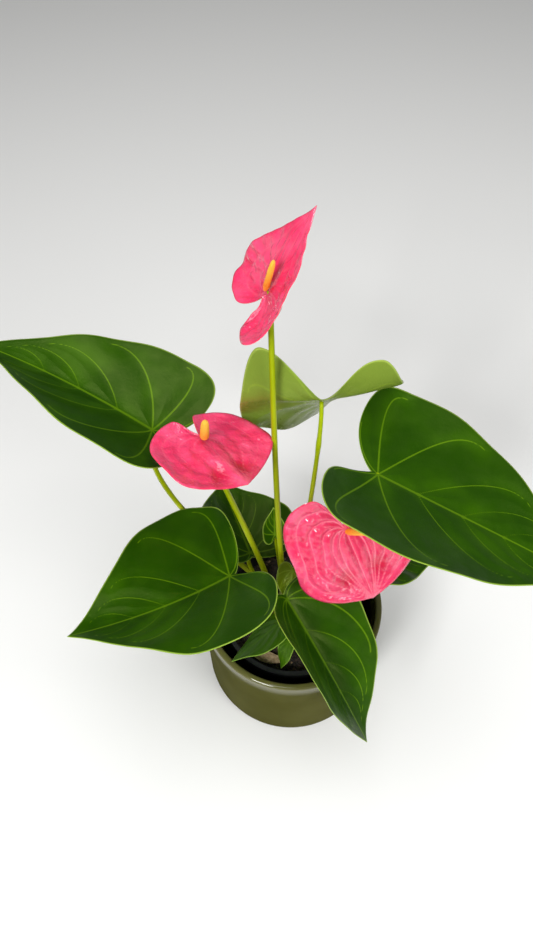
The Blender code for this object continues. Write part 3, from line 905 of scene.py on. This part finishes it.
@dataclass(frozen=True)
class Venation:
    """Veins of one half of a blade; the other half mirrors them.

    A fan vein is its start direction in degrees from the midrib, the share of the outline where it
    ends, and its half width in mm. A rib is the share of the midrib where it leaves, and the same.
    An arc runs inside the outline, at a share of its distance from the joint, all the way to the
    tip: it is that share, the share of the outline where it starts, and its half width.
    """
    fans: tuple[tuple[float, float, float], ...]
    ribs: tuple[tuple[float, float, float], ...]
    midrib: float
    arcs: tuple[tuple[float, float, float], ...] = ()
    inset: float = 0.93     # how near the outline the veins end

    def paths(self, blade: Blade) -> list[tuple[np.ndarray, np.ndarray]]:
        """Each vein's points, in metres on the flat blade, and its half widths in mm.

        Args:
            blade: The blade.
        """
        outline = blade.half_outline(OUTLINE_PARTS + 1)
        hub = np.array((blade.hub(), 0.0))
        fine = np.linspace(0.0, 1.0, VEIN_POINTS)
        grown = [(angle, end, width, hub) for angle, end, width in self.fans]
        grown += [(52.0, end, width, np.array((hub[0] + share * (blade.length - hub[0]), 0.0)))
                  for share, end, width in self.ribs]
        found = []
        for angle, end, width, start in grown:
            index = int(round(end * OUTLINE_PARTS))
            goal = hub + (outline[index] - hub) * self.inset
            tangent = outline[min(OUTLINE_PARTS, index + 2)] - outline[max(0, index - 2)]
            tangent /= np.linalg.norm(tangent)
            reach = np.linalg.norm(goal - start)
            leave = start + 0.42 * reach * np.array((cos(radians(angle)), sin(radians(angle))))
            path = cubic(np.array((start, leave, goal - 0.30 * reach * tangent, goal)), fine)
            found.append((path, width * (1.0 - 0.38 * fine)))
        for inside, first, width in self.arcs:
            turn = np.linspace(first, 1.0, 40)
            places = np.linspace(0.0, 1.0, OUTLINE_PARTS + 1)
            edge = np.column_stack([np.interp(turn, places, column) for column in outline.T])
            grow = np.clip((turn - first) / 0.30, 0.0, 1.0)
            grow = grow * (2.0 - grow)
            share = grow * (inside + (1.0 - inside) * ((turn - first) / (1.0 - first)) ** 4)
            found.append((hub + (edge - hub) * share[:, None], width * (1.0 - 0.6 * turn)))
        spine = np.column_stack((np.linspace(hub[0], blade.length, VEIN_POINTS), np.zeros(VEIN_POINTS)))
        found.append((spine, self.midrib * (1.0 - 0.72 * fine)))
        return found

    def measure(self, blade: Blade, flat: np.ndarray) -> tuple[np.ndarray, np.ndarray]:
        """How far each point of a flat blade is from the nearest vein.

        Args:
            blade: The blade.
            flat: Points on it.

        Returns:
            The distance as a multiple of the vein's half width, and the distance in mm.
        """
        points = np.column_stack((flat[:, 0], np.abs(flat[:, 1]))) / MM
        ratio = np.full(len(points), FARTHEST_RATIO)
        distance = np.full(len(points), FARTHEST_MM)
        for path, widths in self.paths(blade):
            path = path / MM
            for start, end, width in zip(path[:-1], path[1:], widths):
                run = end - start
                share = np.clip((points - start) @ run / max(run @ run, 1e-9), 0.0, 1.0)
                gap = np.hypot(*(points - start - share[:, None] * run).T)
                distance = np.minimum(distance, gap)
                ratio = np.minimum(ratio, gap / width)
        return ratio, distance


@dataclass(frozen=True)
class Relief:
    """How a blade's surface swells between its veins and waves at its margin, in metres."""
    swell: float
    spread: float           # distance from a vein, in mm, over which it swells
    wave: float
    waves: int
    pucker: float = 0.0
    puckers: int = 22       # ripples across the outer part, once round the outline
    pocket: float = 0.0     # depth of the hollow on each side of the midrib near the tip
    thickness: float = 0.0006

    @staticmethod
    def pockets(share: np.ndarray, turn: np.ndarray) -> np.ndarray:
        """How deep each point lies in the hollows beside the tip, from 0 to 1."""
        aside = np.abs(turn - 0.5)
        return np.exp(-((share - 0.70) / 0.17) ** 2) * np.exp(-((aside - 0.055) / 0.035) ** 2)

    def heights(self, share: np.ndarray, turn: np.ndarray, near: np.ndarray, seed: float) -> np.ndarray:
        """Extra height of each point.

        Args:
            share: Place from the hub, 0, to the margin, 1.
            turn: Place round the outline, from 0 to 1.
            near: Distance from the nearest vein in mm.
            seed: Shifts the waves, so that no two blades match.

        Returns:
            One height per point.
        """
        swell = self.swell * (1.0 - np.exp(-(near / self.spread) ** 2)) * (1.0 - 0.6 * share ** 4)
        wave = self.wave * share ** 4 * (np.sin(tau * self.waves * turn + seed)
                                         + 0.5 * np.sin(tau * (self.waves * 2 + 1) * turn + 2.3 * seed))
        ripple = np.sin(tau * self.puckers * turn + 5.0 * share + 2.2 * np.sin(tau * 3 * turn + seed))
        ripple = ripple + 0.6 * np.sin(tau * (self.puckers * 1.7) * turn - 9.0 * share + seed)
        pucker = self.pucker * np.minimum(1.0, near / 1.6) * ripple * np.clip(share * 1.6 - 0.4, 0.0, 1.0)
        pucker = pucker * (1.0 - 0.8 * share ** 8)
        return swell + wave + pucker - self.pocket * self.pockets(share, turn)


LEAF_VEINS = Venation(
    fans=((150.0, 0.16, 0.30), (104.0, 0.36, 0.42), (66.0, 0.62, 0.40)),
    ribs=((0.20, 0.82, 0.26), (0.42, 0.90, 0.22), (0.62, 0.95, 0.18)),
    midrib=0.72)
SMALL_VEINS = Venation(
    fans=((140.0, 0.20, 0.30), (85.0, 0.50, 0.36), (46.0, 0.75, 0.34)),
    ribs=((0.25, 0.86, 0.26), (0.50, 0.94, 0.22)),
    midrib=0.60)
SPATHE_VEINS = {
    "top": Venation((), (), 0.60, ((0.74, 0.06, 0.60), (0.46, 0.20, 0.60))),
    "left": Venation((), (), 0.70, ((0.76, 0.07, 0.60), (0.50, 0.20, 0.60), (0.24, 0.36, 0.50))),
    "right": Venation((), (), 0.70, ((0.80, 0.05, 0.60), (0.60, 0.14, 0.60), (0.42, 0.24, 0.60),
                                     (0.26, 0.34, 0.50), (0.13, 0.44, 0.40))),
}
LEAF_RELIEF = Relief(swell=0.0008, spread=5.0, wave=0.0012, waves=4)
SMALL_RELIEF = Relief(swell=0.0004, spread=3.0, wave=0.0005, waves=3, thickness=0.0005)
SPATHE_RELIEF = {
    "top": Relief(0.0010, 3.0, 0.0010, 3, 0.00075, 15, 0.0, 0.0007),
    "left": Relief(0.0011, 4.6, 0.0008, 3, 0.00020, 14, 0.0020, 0.0007),
    "right": Relief(0.0022, 2.4, 0.0009, 4, 0.00045, 20, 0.0030, 0.0007),
}
# Strength of the painted highlight on each spathe's ribs and of the painted shade beside them.
SPATHE_BOLD = {"top": 0.25, "left": 0.35, "right": 1.0}     # how clearly the ribs are coloured


@dataclass
class BladePiece:
    """Finely shaped leaf blade or spathe that stands for a CAD blade."""
    node: str
    blade: Blade
    veins: Venation
    relief: Relief
    # bold sets the strength of the painted highlight and painted shade along the veins.
    bold: float = 1.0       # how clearly its veins are coloured
    grain: float = 0.00066  # distance between points round the outline
    rings: int = 64

    def build(self) -> bpy.types.Object:
        """Build the blade as a closed shell with its vein, margin and side attributes.

        Returns:
            The shell.
        """
        blade = self.blade
        rough = blade.half_outline(200)
        reach = np.linalg.norm(np.diff(rough, axis=0), axis=1).sum()
        half = blade.half_outline(max(60, int(reach / self.grain)))
        outline = np.vstack((half, (half * (1.0, -1.0))[-2:0:-1]))
        count = len(outline)
        rings = int(np.clip(blade.length / 0.0016, 16, self.rings))
        shares = (np.arange(1, rings + 1) / rings) ** 0.92
        hub = np.array((blade.hub(), 0.0))
        flat = np.vstack([hub[None, :]] + [hub + (outline - hub) * share for share in shares])
        share = np.concatenate(((0.0,), np.repeat(shares, count)))
        turn = np.concatenate(((0.0,), np.tile(np.arange(count) / count, rings)))
        ratio, near = self.veins.measure(blade, flat)
        reach = np.tile(np.linalg.norm(outline - hub, axis=1) / MM, rings)
        edge = (1.0 - share) * np.concatenate(((9.0,), reach))
        seed = 7.0 * blade.joint[0] / 0.05 + blade.heading
        raised = self.relief.heights(share, turn, near, seed)
        middle = blade.place(flat, raised)
        first = np.arange(count)
        after = (first + 1) % count
        fan = np.column_stack((np.zeros(count, int), 1 + after, 1 + first))
        rows = 1 + np.arange(rings - 1)[:, None] * count
        quads = np.stack((rows + first, rows + after, rows + count + after, rows + count + first), axis=2)
        quads = quads.reshape(-1, 4)
        normals = vertex_normals(middle, np.vstack((np.column_stack((fan[:, :1], fan)), quads)))
        thick = 0.5 * self.relief.thickness * np.clip(0.35 + edge / 1.5, 0.35, 1.0)[:, None]
        size = len(middle)
        faces = fan.tolist() + quads.tolist()
        faces += (fan[:, ::-1] + size).tolist() + (quads[:, ::-1] + size).tolist()
        outer = 1 + (rings - 1) * count
        faces += np.column_stack((outer + first, outer + after,
                                  size + outer + after, size + outer + first)).tolist()
        skins = np.vstack((middle + normals * thick, middle - normals * thick))
        item = new_object(self.node + "_skin", skins, faces)
        # deep marks where shade is painted: strongest at the notch, and in the hollows beside the tip where a
        # blade has them.
        deep = np.exp(-share * 3.2) * np.where(flat[:, 0] < 0.5 * blade.length, 1.0, 0.6)
        if self.relief.pocket:
            deep = np.maximum(0.55 * deep, self.relief.pockets(share, turn))
        for name, values in (("vein", ratio), ("near", near), ("edge", edge), ("deep", deep)):
            store(item, name, np.concatenate((values, values)))
        store(item, "bold", np.full(2 * size, self.bold))
        store(item, "under", np.repeat((Surface.UPPER.value, Surface.LOWER.value), size))
        return item


@dataclass
class StalkPiece:
    """Petiole or peduncle: a tapering tube with a knuckle below a leaf blade."""
    node: str
    blade: Blade
    stalk: Stalk
    knuckle: bool
    sides: int = 16
    steps: int = 90

    def build(self) -> bpy.types.Object:
        """Build the stalk along its curve.

        Returns:
            The tube.
        """
        guides = self.stalk.guides(self.blade)
        path = evenly_spaced(cubic(guides, np.linspace(0.0, 1.0, 300)), self.steps)
        length = np.linalg.norm(np.diff(path, axis=0), axis=1).sum()
        share = np.linspace(0.0, 1.0, self.steps)
        radii = self.stalk.foot_radius + (self.stalk.top_radius - self.stalk.foot_radius) * share
        radii = radii * (1.0 + 0.30 * np.exp(-share * length / 0.008))
        if self.knuckle:
            above = (1.0 - share) * length
            radii = radii * (1.0 + 0.22 * np.exp(-((above - 0.13 * length) / 0.0045) ** 2))
        radii = radii * (1.0 + 0.02 * np.sin(share * 37.0))
        return tube(self.node + "_skin", path, radii, self.sides)


@dataclass
class SpadixPiece:
    """Spadix: a blunt spike covered in a lattice of small florets."""
    flower: Flower
    finish: SpadixSkin
    sides: int = 15
    rings: int = 26

    def build(self) -> bpy.types.Object:
        """Build the spike and grow its florets.

        Returns:
            The finished spadix.
        """
        blade = self.flower.blade
        up = blade.axes()[2]
        axis = np.array(self.flower.spadix_axis)
        axis /= np.linalg.norm(axis)
        foot = blade.place(np.array(((HUB_OFFSET, 0.0),)))[0]
        side = np.cross(axis, up)
        side /= np.linalg.norm(side)
        other = np.cross(axis, side)
        lift = 0.0011 + 0.55 * self.flower.spadix_radius * np.sqrt(max(0.0, 1 - (axis @ up) ** 2))
        foot = foot + up * lift
        slim = 0.86 * self.flower.spadix_radius
        rings = []
        for ring in range(self.rings):
            share = ring / (self.rings - 1)
            radius = slim * (1 - 0.22 * share) * (1 - min(1.0, share) ** 9) ** 0.5
            radius = max(radius, 0.12 * slim) * min(1.0, 0.55 + 4.0 * share)
            angles = (np.arange(self.sides) + 0.5 * (ring % 2)) * tau / self.sides
            centre = foot + axis * share * self.flower.spadix_length
            rings.append(centre + radius * (np.outer(np.cos(angles), side) + np.outer(np.sin(angles), other)))
        points = np.vstack(rings + [foot[None, :], (foot + axis * self.flower.spadix_length)[None, :]])
        faces = []
        for ring in range(self.rings - 1):
            low = ring * self.sides
            for index in range(self.sides):
                after = (index + 1) % self.sides
                faces.append((low + index, low + after, low + self.sides + after, low + self.sides + index))
        last = (self.rings - 1) * self.sides
        pole = self.rings * self.sides
        for index in range(self.sides):
            after = (index + 1) % self.sides
            faces.append((pole, after, index))
            faces.append((pole + 1, last + index, last + after))
        item = new_object(f"spadix_{self.flower.name}_skin", points, faces)
        along = np.repeat(np.linspace(0.0, 1.0, self.rings), self.sides)
        store(item, "along", np.concatenate((along, (0.0, 1.0))))
        self.grow_florets(item)
        return item

    def grow_florets(self, core: bpy.types.Object) -> None:
        """Cover the spike with florets, one on each point of its lattice.

        Args:
            core: The bare spike.
        """
        tree = GeometryTree(f"florets_{self.flower.name}", self.finish.material(),
                            {"Floret Radius": 0.18 * self.flower.spadix_radius})
        base = tree.source.outputs["Geometry"]
        bead = tree.add("GeometryNodeMeshIcoSphere", Subdivisions=1,
                        Radius=tree.source.outputs["Floret Radius"])
        lobes = tree.add("GeometryNodeInstanceOnPoints", Points=base, Instance=bead.outputs[0])
        both = tree.add("GeometryNodeJoinGeometry", Geometry=base)
        tree.tree.links.new(lobes.outputs[0], both.inputs[0])
        tree.finish(both.outputs[0])
        tree.grow(core)
        core.data.shade_smooth()


# ---------------------------------------------------------------- sub-assemblies

@dataclass
class Cachepot:
    """Outer pot: turned and glazed, with straight sides, a rounded foot and a soft rim."""
    wall: float = 0.0046
    floor: float = 0.005
    foot_fillet: float = 0.012
    rim_fillet: float = 0.0018
    gloss_depth: float = 0.0035     # how far below the rim its strong gloss starts
    gloss_fade: float = 0.0025      # height over which that gloss grows
    steps: int = 180
    finish: Glaze = field(default_factory=Glaze)

    def build(self) -> bpy.types.Object:
        """Build the pot from its section.

        Returns:
            The pot.
        """
        radius = POT_HIGH.x
        height = POT_HIGH.z
        bore = radius - self.wall
        inner_fillet = self.foot_fillet - self.wall
        outer = rounded((radius - self.foot_fillet, self.foot_fillet), self.foot_fillet, -90.0, 0.0, 14)
        rim = rounded((radius - self.rim_fillet, height - self.rim_fillet), self.rim_fillet, 0.0, 90.0, 6)
        lip = rounded((bore + self.rim_fillet, height - self.rim_fillet), self.rim_fillet, 90.0, 180.0, 6)
        well = rounded((bore - inner_fillet, self.floor + inner_fillet), inner_fillet, 0.0, -90.0, 10)
        rim_foot = height - self.rim_fillet
        walls = [(radius, level) for level in np.linspace(self.foot_fillet, rim_foot, 8)[1:-1]]
        inside = [(bore, level) for level in np.linspace(rim_foot, self.floor + inner_fillet, 8)[1:-1]]
        profile = np.array([(0.0, 0.0)] + outer + walls + rim + lip + inside + well + [(0.0, self.floor)])
        pot = lathe("cachepot_glazed", profile, self.steps)
        heights = np.array([vertex.co.z for vertex in pot.data.vertices])
        store(pot, "rim", np.clip((heights - (height - self.gloss_depth)) / self.gloss_fade, 0.0, 1.0))
        return pot

    def dress(self, pot: bpy.types.Object) -> None:
        """Glaze the pot and fix it to the frame."""
        pot.data.materials.append(self.finish.material())
        settle(pot, "cachepot", "cachepot")


@dataclass
class NurseryPot:
    """Thin black inner pot with its drain holes."""
    finish: PotPlastic = field(default_factory=PotPlastic)

    def build(self) -> bpy.types.Object:
        """Copy the frame's pot with smooth walls."""
        return welded_copy("nursery_pot", "nursery_pot_smooth", 40.0)

    def dress(self, pot: bpy.types.Object) -> None:
        """Give the pot its plastic and fix it to the frame."""
        pot.data.materials.append(self.finish.material())
        settle(pot, "nursery_pot", "nursery_pot")


@dataclass
class Soil:
    """Peat with an uneven top and loose crumbs."""
    crumb_low: float = 0.00045
    crumb_high: float = 0.0016
    crumbs_per_square_metre: float = 260000.0
    unevenness: float = 0.0009
    steps: int = 120
    rings: int = 30
    finish: Earth = field(default_factory=Earth)

    def build(self) -> bpy.types.Object:
        """Build the body of soil and scatter its crumbs.

        Returns:
            The soil with its crumbs.
        """
        low, high = (np.array(corner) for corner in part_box("potting_soil"))
        radius = high[0]
        foot = 0.82 * radius
        shares = np.linspace(0.0, 1.0, self.rings)[1:]
        profile = [(0.0, low[2]), (foot, low[2]), (radius, high[2] - 0.0015)]
        profile += [(radius * share, high[2] - 0.0004) for share in shares[::-1]]
        profile.append((0.0, high[2] - 0.0004))
        body = lathe("potting_soil_crumbly", np.array(profile), self.steps)
        rng = np.random.default_rng(4)
        waves = rng.normal(size=(14, 2)) * 260.0
        phases = rng.uniform(0.0, tau, 14)
        top = high[2] - 0.001
        for vertex in body.data.vertices:
            place = np.array(vertex.co[:2])
            if vertex.co.z > top and np.hypot(*place) < radius - 0.001:
                vertex.co.z += self.unevenness * float(np.sin(waves @ place + phases).sum()) / 4.0
        store(body, "shade", np.zeros(len(body.data.vertices)))
        self.scatter_crumbs(body, top - 0.002)
        return body

    def scatter_crumbs(self, body: bpy.types.Object, above: float) -> None:
        """Scatter crumbs over the top of the soil.

        Args:
            body: The bare soil.
            above: Height over which faces carry crumbs.
        """
        tree = GeometryTree("soil_crumbs", self.finish.material(), {
            "Density": self.crumbs_per_square_metre, "Crumb Low": self.crumb_low,
            "Crumb High": self.crumb_high, "Above": above})
        size = tree.source.outputs
        base = size["Geometry"]
        height = tree.add("ShaderNodeSeparateXYZ", Vector=tree.add("GeometryNodeInputPosition").outputs[0])
        facing = tree.add("ShaderNodeSeparateXYZ", Vector=tree.add("GeometryNodeInputNormal").outputs[0])
        high = tree.add("FunctionNodeCompare", A=height.outputs[2], B=size["Above"])
        level = tree.add("FunctionNodeCompare", A=facing.outputs[2], B=0.5)
        chosen = tree.add("FunctionNodeBooleanMath")
        tree.tree.links.new(high.outputs[0], chosen.inputs[0])
        tree.tree.links.new(level.outputs[0], chosen.inputs[1])
        spots = tree.add("GeometryNodeDistributePointsOnFaces", Mesh=base, Selection=chosen.outputs[0],
                         Density=size["Density"], Seed=11)
        crumb = tree.add("GeometryNodeMeshIcoSphere", Subdivisions=1, Radius=1.0)
        spread = tree.add("FunctionNodeRandomValue", {"data_type": "FLOAT"}, Min=size["Crumb Low"],
                          Max=size["Crumb High"], Seed=3)
        shape = tree.add("FunctionNodeRandomValue", {"data_type": "FLOAT_VECTOR"}, Min=(0.6, 0.6, 0.4),
                         Max=(1.3, 1.1, 0.8), Seed=5)
        scale = tree.add("ShaderNodeVectorMath", {"operation": "SCALE"}, Vector=shape.outputs[0],
                         Scale=spread.outputs[1])
        turn = tree.add("FunctionNodeRandomValue", {"data_type": "FLOAT_VECTOR"}, Min=(0.0, 0.0, 0.0),
                        Max=(tau, tau, tau), Seed=7)
        crumbs = tree.add("GeometryNodeInstanceOnPoints", Points=spots.outputs[0], Instance=crumb.outputs[0],
                          Rotation=turn.outputs[0], Scale=scale.outputs[0])
        shade = tree.add("FunctionNodeRandomValue", {"data_type": "FLOAT"}, Min=0.0, Max=1.0, Seed=9)
        marked = tree.add("GeometryNodeStoreNamedAttribute", {"data_type": "FLOAT", "domain": "INSTANCE"},
                          Geometry=crumbs.outputs[0], Name="shade", Value=shade.outputs[1])
        both = tree.add("GeometryNodeJoinGeometry", Geometry=base)
        tree.tree.links.new(marked.outputs[0], both.inputs[0])
        tree.finish(both.outputs[0])
        tree.grow(body)

    def dress(self, body: bpy.types.Object) -> None:
        """Fix the soil to the frame; its crumbs already carry the material."""
        settle(body, "potting_soil", "potting_soil")


@dataclass
class Foliage:
    """All leaves, with the green of each age."""
    mature: LeafSkin = LeafSkin("leaf_mature", (0.012, 0.052, 0.0003), (0.034, 0.108, 0.0004),
                                (0.13, 0.26, 0.004), (0.28, 0.42, 0.05), (0.055, 0.14, 0.006), 0.34, 0.60)
    # The young green is the lighter tone of young leaves together with a painted glow of light shining
    # through the thin blade.
    young: LeafSkin = LeafSkin("leaf_young", (0.110, 0.172, 0.003), (0.150, 0.225, 0.005), (0.24, 0.36, 0.03),
                               (0.30, 0.40, 0.07), (0.17, 0.25, 0.030), 0.28, 0.5)
    small: LeafSkin = LeafSkin("leaf_small", (0.026, 0.088, 0.0006), (0.048, 0.130, 0.0010),
                               (0.08, 0.18, 0.004), (0.24, 0.40, 0.05), (0.06, 0.15, 0.006), 0.36, 0.35)

    def build(self) -> list[tuple[bpy.types.Object, bpy.types.Object, Leaf]]:
        """Build every blade and petiole.

        Returns:
            Blade, petiole and leaf of each.
        """
        made = []
        for leaf in LEAVES:
            large = leaf.blade.length > 0.05
            blade = BladePiece(f"leaf_{leaf.name}", leaf.blade, LEAF_VEINS if large else SMALL_VEINS,
                               LEAF_RELIEF if large else SMALL_RELIEF).build()
            petiole = StalkPiece(f"petiole_{leaf.name}", leaf.blade, leaf.stalk,
                                 leaf.blade.length > 0.05).build()
            made.append((blade, petiole, leaf))
        return made

    def dress(self, made: list[tuple[bpy.types.Object, bpy.types.Object, Leaf]],
              stalk: bpy.types.Material) -> None:
        """Give each leaf its green and fix it to the frame.

        Args:
            made: What build returned.
            stalk: Material of the petioles.
        """
        greens = {LeafAge.MATURE: self.mature.material(), LeafAge.YOUNG: self.young.material(),
                  LeafAge.SMALL: self.small.material()}
        slots = {LeafAge.MATURE: "leaf", LeafAge.YOUNG: "young_leaf", LeafAge.SMALL: "leaf"}
        for blade, petiole, leaf in made:
            blade.data.materials.append(greens[leaf.age])
            settle(blade, slots[leaf.age], f"leaf_{leaf.name}")
            petiole.data.materials.append(stalk)
            settle(petiole, "stalk", f"petiole_{leaf.name}")


@dataclass
class Blossoms:
    """The flowers: spathes, peduncles and spadices."""
    spathe: SpatheSkin = field(default_factory=SpatheSkin)
    spadix: SpadixSkin = field(default_factory=SpadixSkin)

    def build(self) -> list[tuple[bpy.types.Object, bpy.types.Object, bpy.types.Object, Flower]]:
        """Build every spathe, peduncle and spadix.

        Returns:
            Spathe, peduncle, spadix and flower of each.
        """
        made = []
        for flower in FLOWERS:
            spathe = BladePiece(f"spathe_{flower.name}", flower.blade, SPATHE_VEINS[flower.name],
                                SPATHE_RELIEF[flower.name], SPATHE_BOLD[flower.name], 0.0005, 80).build()
            peduncle = StalkPiece(f"peduncle_{flower.name}", flower.blade, flower.stalk, False).build()
            made.append((spathe, peduncle, SpadixPiece(flower, self.spadix).build(), flower))
        return made

    def dress(self, made: list, stalk: bpy.types.Material) -> None:
        """Colour each flower and fix it to the frame.

        Args:
            made: What build returned.
            stalk: Material of the peduncles.
        """
        pink = self.spathe.material("spathe_skin")
        for spathe, peduncle, spadix, flower in made:
            spathe.data.materials.append(pink)
            settle(spathe, "spathe", f"spathe_{flower.name}")
            peduncle.data.materials.append(stalk)
            settle(peduncle, "stalk", f"peduncle_{flower.name}")
            settle(spadix, "spadix", f"spadix_{flower.name}")


@dataclass
class DryScales:
    """Sheaths round stalk feet, the crown and the fallen bract, smoothed from the frame."""
    finishes: tuple[tuple[str, DryScale], ...] = (
        ("sheath_pale", DryScale("sheath_pale_skin", (0.42, 0.50, 0.13), (0.60, 0.62, 0.30))),
        ("sheath_red", DryScale("sheath_red_skin", (0.36, 0.10, 0.08), (0.52, 0.24, 0.18))),
        ("sheath_green", DryScale("sheath_green_skin", (0.34, 0.40, 0.12), (0.50, 0.46, 0.22))),
        ("crown_stem", DryScale("crown_skin", (0.12, 0.14, 0.03), (0.24, 0.22, 0.08))),
        ("dry_bract", DryScale("dry_bract_skin", (0.22, 0.15, 0.075), (0.42, 0.32, 0.18))),
    )

    def build(self) -> list[tuple[bpy.types.Object, str, DryScale]]:
        """Copy each scale smoothly from the frame."""
        return [(welded_copy(node, node + "_smooth", 60.0), node, finish) for node, finish in self.finishes]

    def dress(self, made: list[tuple[bpy.types.Object, str, DryScale]]) -> None:
        """Give each scale its skin and fix it to the frame."""
        for piece, node, finish in made:
            piece.data.materials.append(finish.material())
            settle(piece, node, node)


@dataclass
class Studio:
    """Camera, plain pale floor and soft lights."""
    camera_from_rim: tuple[float, float, float] = (-0.018, -0.215, 0.469)
    pitch: float = 55.1     # degrees below level
    roll: float = -0.37
    lens: float = 26.58
    floor_side: float = 8.0
    floor_colour: Colour = (0.85, 0.85, 0.835)
    air_light: float = 0.15     # strength of the even white light from all round

    def camera(self) -> None:
        """Add the camera over the pot's rim, looking down along +Y."""
        data = bpy.data.cameras.new("camera")
        data.sensor_width = 36.0
        data.lens = self.lens
        data.clip_start = 0.01
        eye = bpy.data.objects.new("camera", data)
        bpy.context.scene.collection.objects.link(eye)
        tilt = Matrix.Rotation(radians(90.0 - self.pitch), 4, "X")
        turn = Matrix.Rotation(radians(self.roll), 4, "Z")
        place = Vector(self.camera_from_rim) + Vector((0, 0, POT_HIGH.z))
        eye.matrix_world = Matrix.Translation(place) @ (tilt @ turn)
        bpy.context.scene.camera = eye

    def floor(self) -> None:
        """Lay a plain floor under the pot."""
        half = 0.5 * self.floor_side
        corners = np.array(((-half, -half, 0), (half, -half, 0), (half, half, 0), (-half, half, 0)))
        ground = new_object("floor", corners, [(0, 1, 2, 3)], smooth=False)
        tree = ShaderTree("floor")
        tree.set(Base_Color=(*self.floor_colour, 1.0), Roughness=0.8)
        ground.data.materials.append(tree.material)

    def lamp(self, name: str, place: tuple[float, float, float], side: float, watts: float) -> None:
        """Add a square soft light aimed at the plant.

        Args:
            name: The light's name.
            place: Where it hangs.
            side: Length of its side.
            watts: Its power.
        """
        data = bpy.data.lights.new(name, "AREA")
        data.size = side
        data.energy = watts
        lamp = bpy.data.objects.new(name, data)
        bpy.context.scene.collection.objects.link(lamp)
        aim = Vector((0.0, 0.0, 0.2)) - Vector(place)
        lamp.matrix_world = Matrix.Translation(place) @ aim.to_track_quat("-Z", "Y").to_matrix().to_4x4()

    def build(self) -> None:
        """Set the whole studio up."""
        self.camera()
        self.floor()
        self.lamp("window", (-0.60, -1.05, 1.30), 0.45, 21.0)
        self.lamp("ceiling", (0.1, 0.0, 1.9), 1.1, 16.0)
        self.lamp("fill", (0.9, -1.0, 1.0), 0.8, 10.0)
        world = bpy.data.worlds.new("studio")
        world.use_nodes = True
        world.node_tree.nodes["Background"].inputs["Color"].default_value = (1.0, 1.0, 1.0, 1.0)
        world.node_tree.nodes["Background"].inputs["Strength"].default_value = self.air_light
        bpy.context.scene.world = world
        bpy.context.scene.view_settings.view_transform = "Standard"


def main() -> None:
    """Build and dress every sub-assembly in order, which logs each piece."""
    stalk = StalkSkin().material()
    for part in (Cachepot(), NurseryPot(), Soil(), DryScales()):
        part.dress(part.build())
    for part in (Foliage(), Blossoms()):
        part.dress(part.build(), stalk)
    Studio().build()


if __name__ == "__main__":
    main()
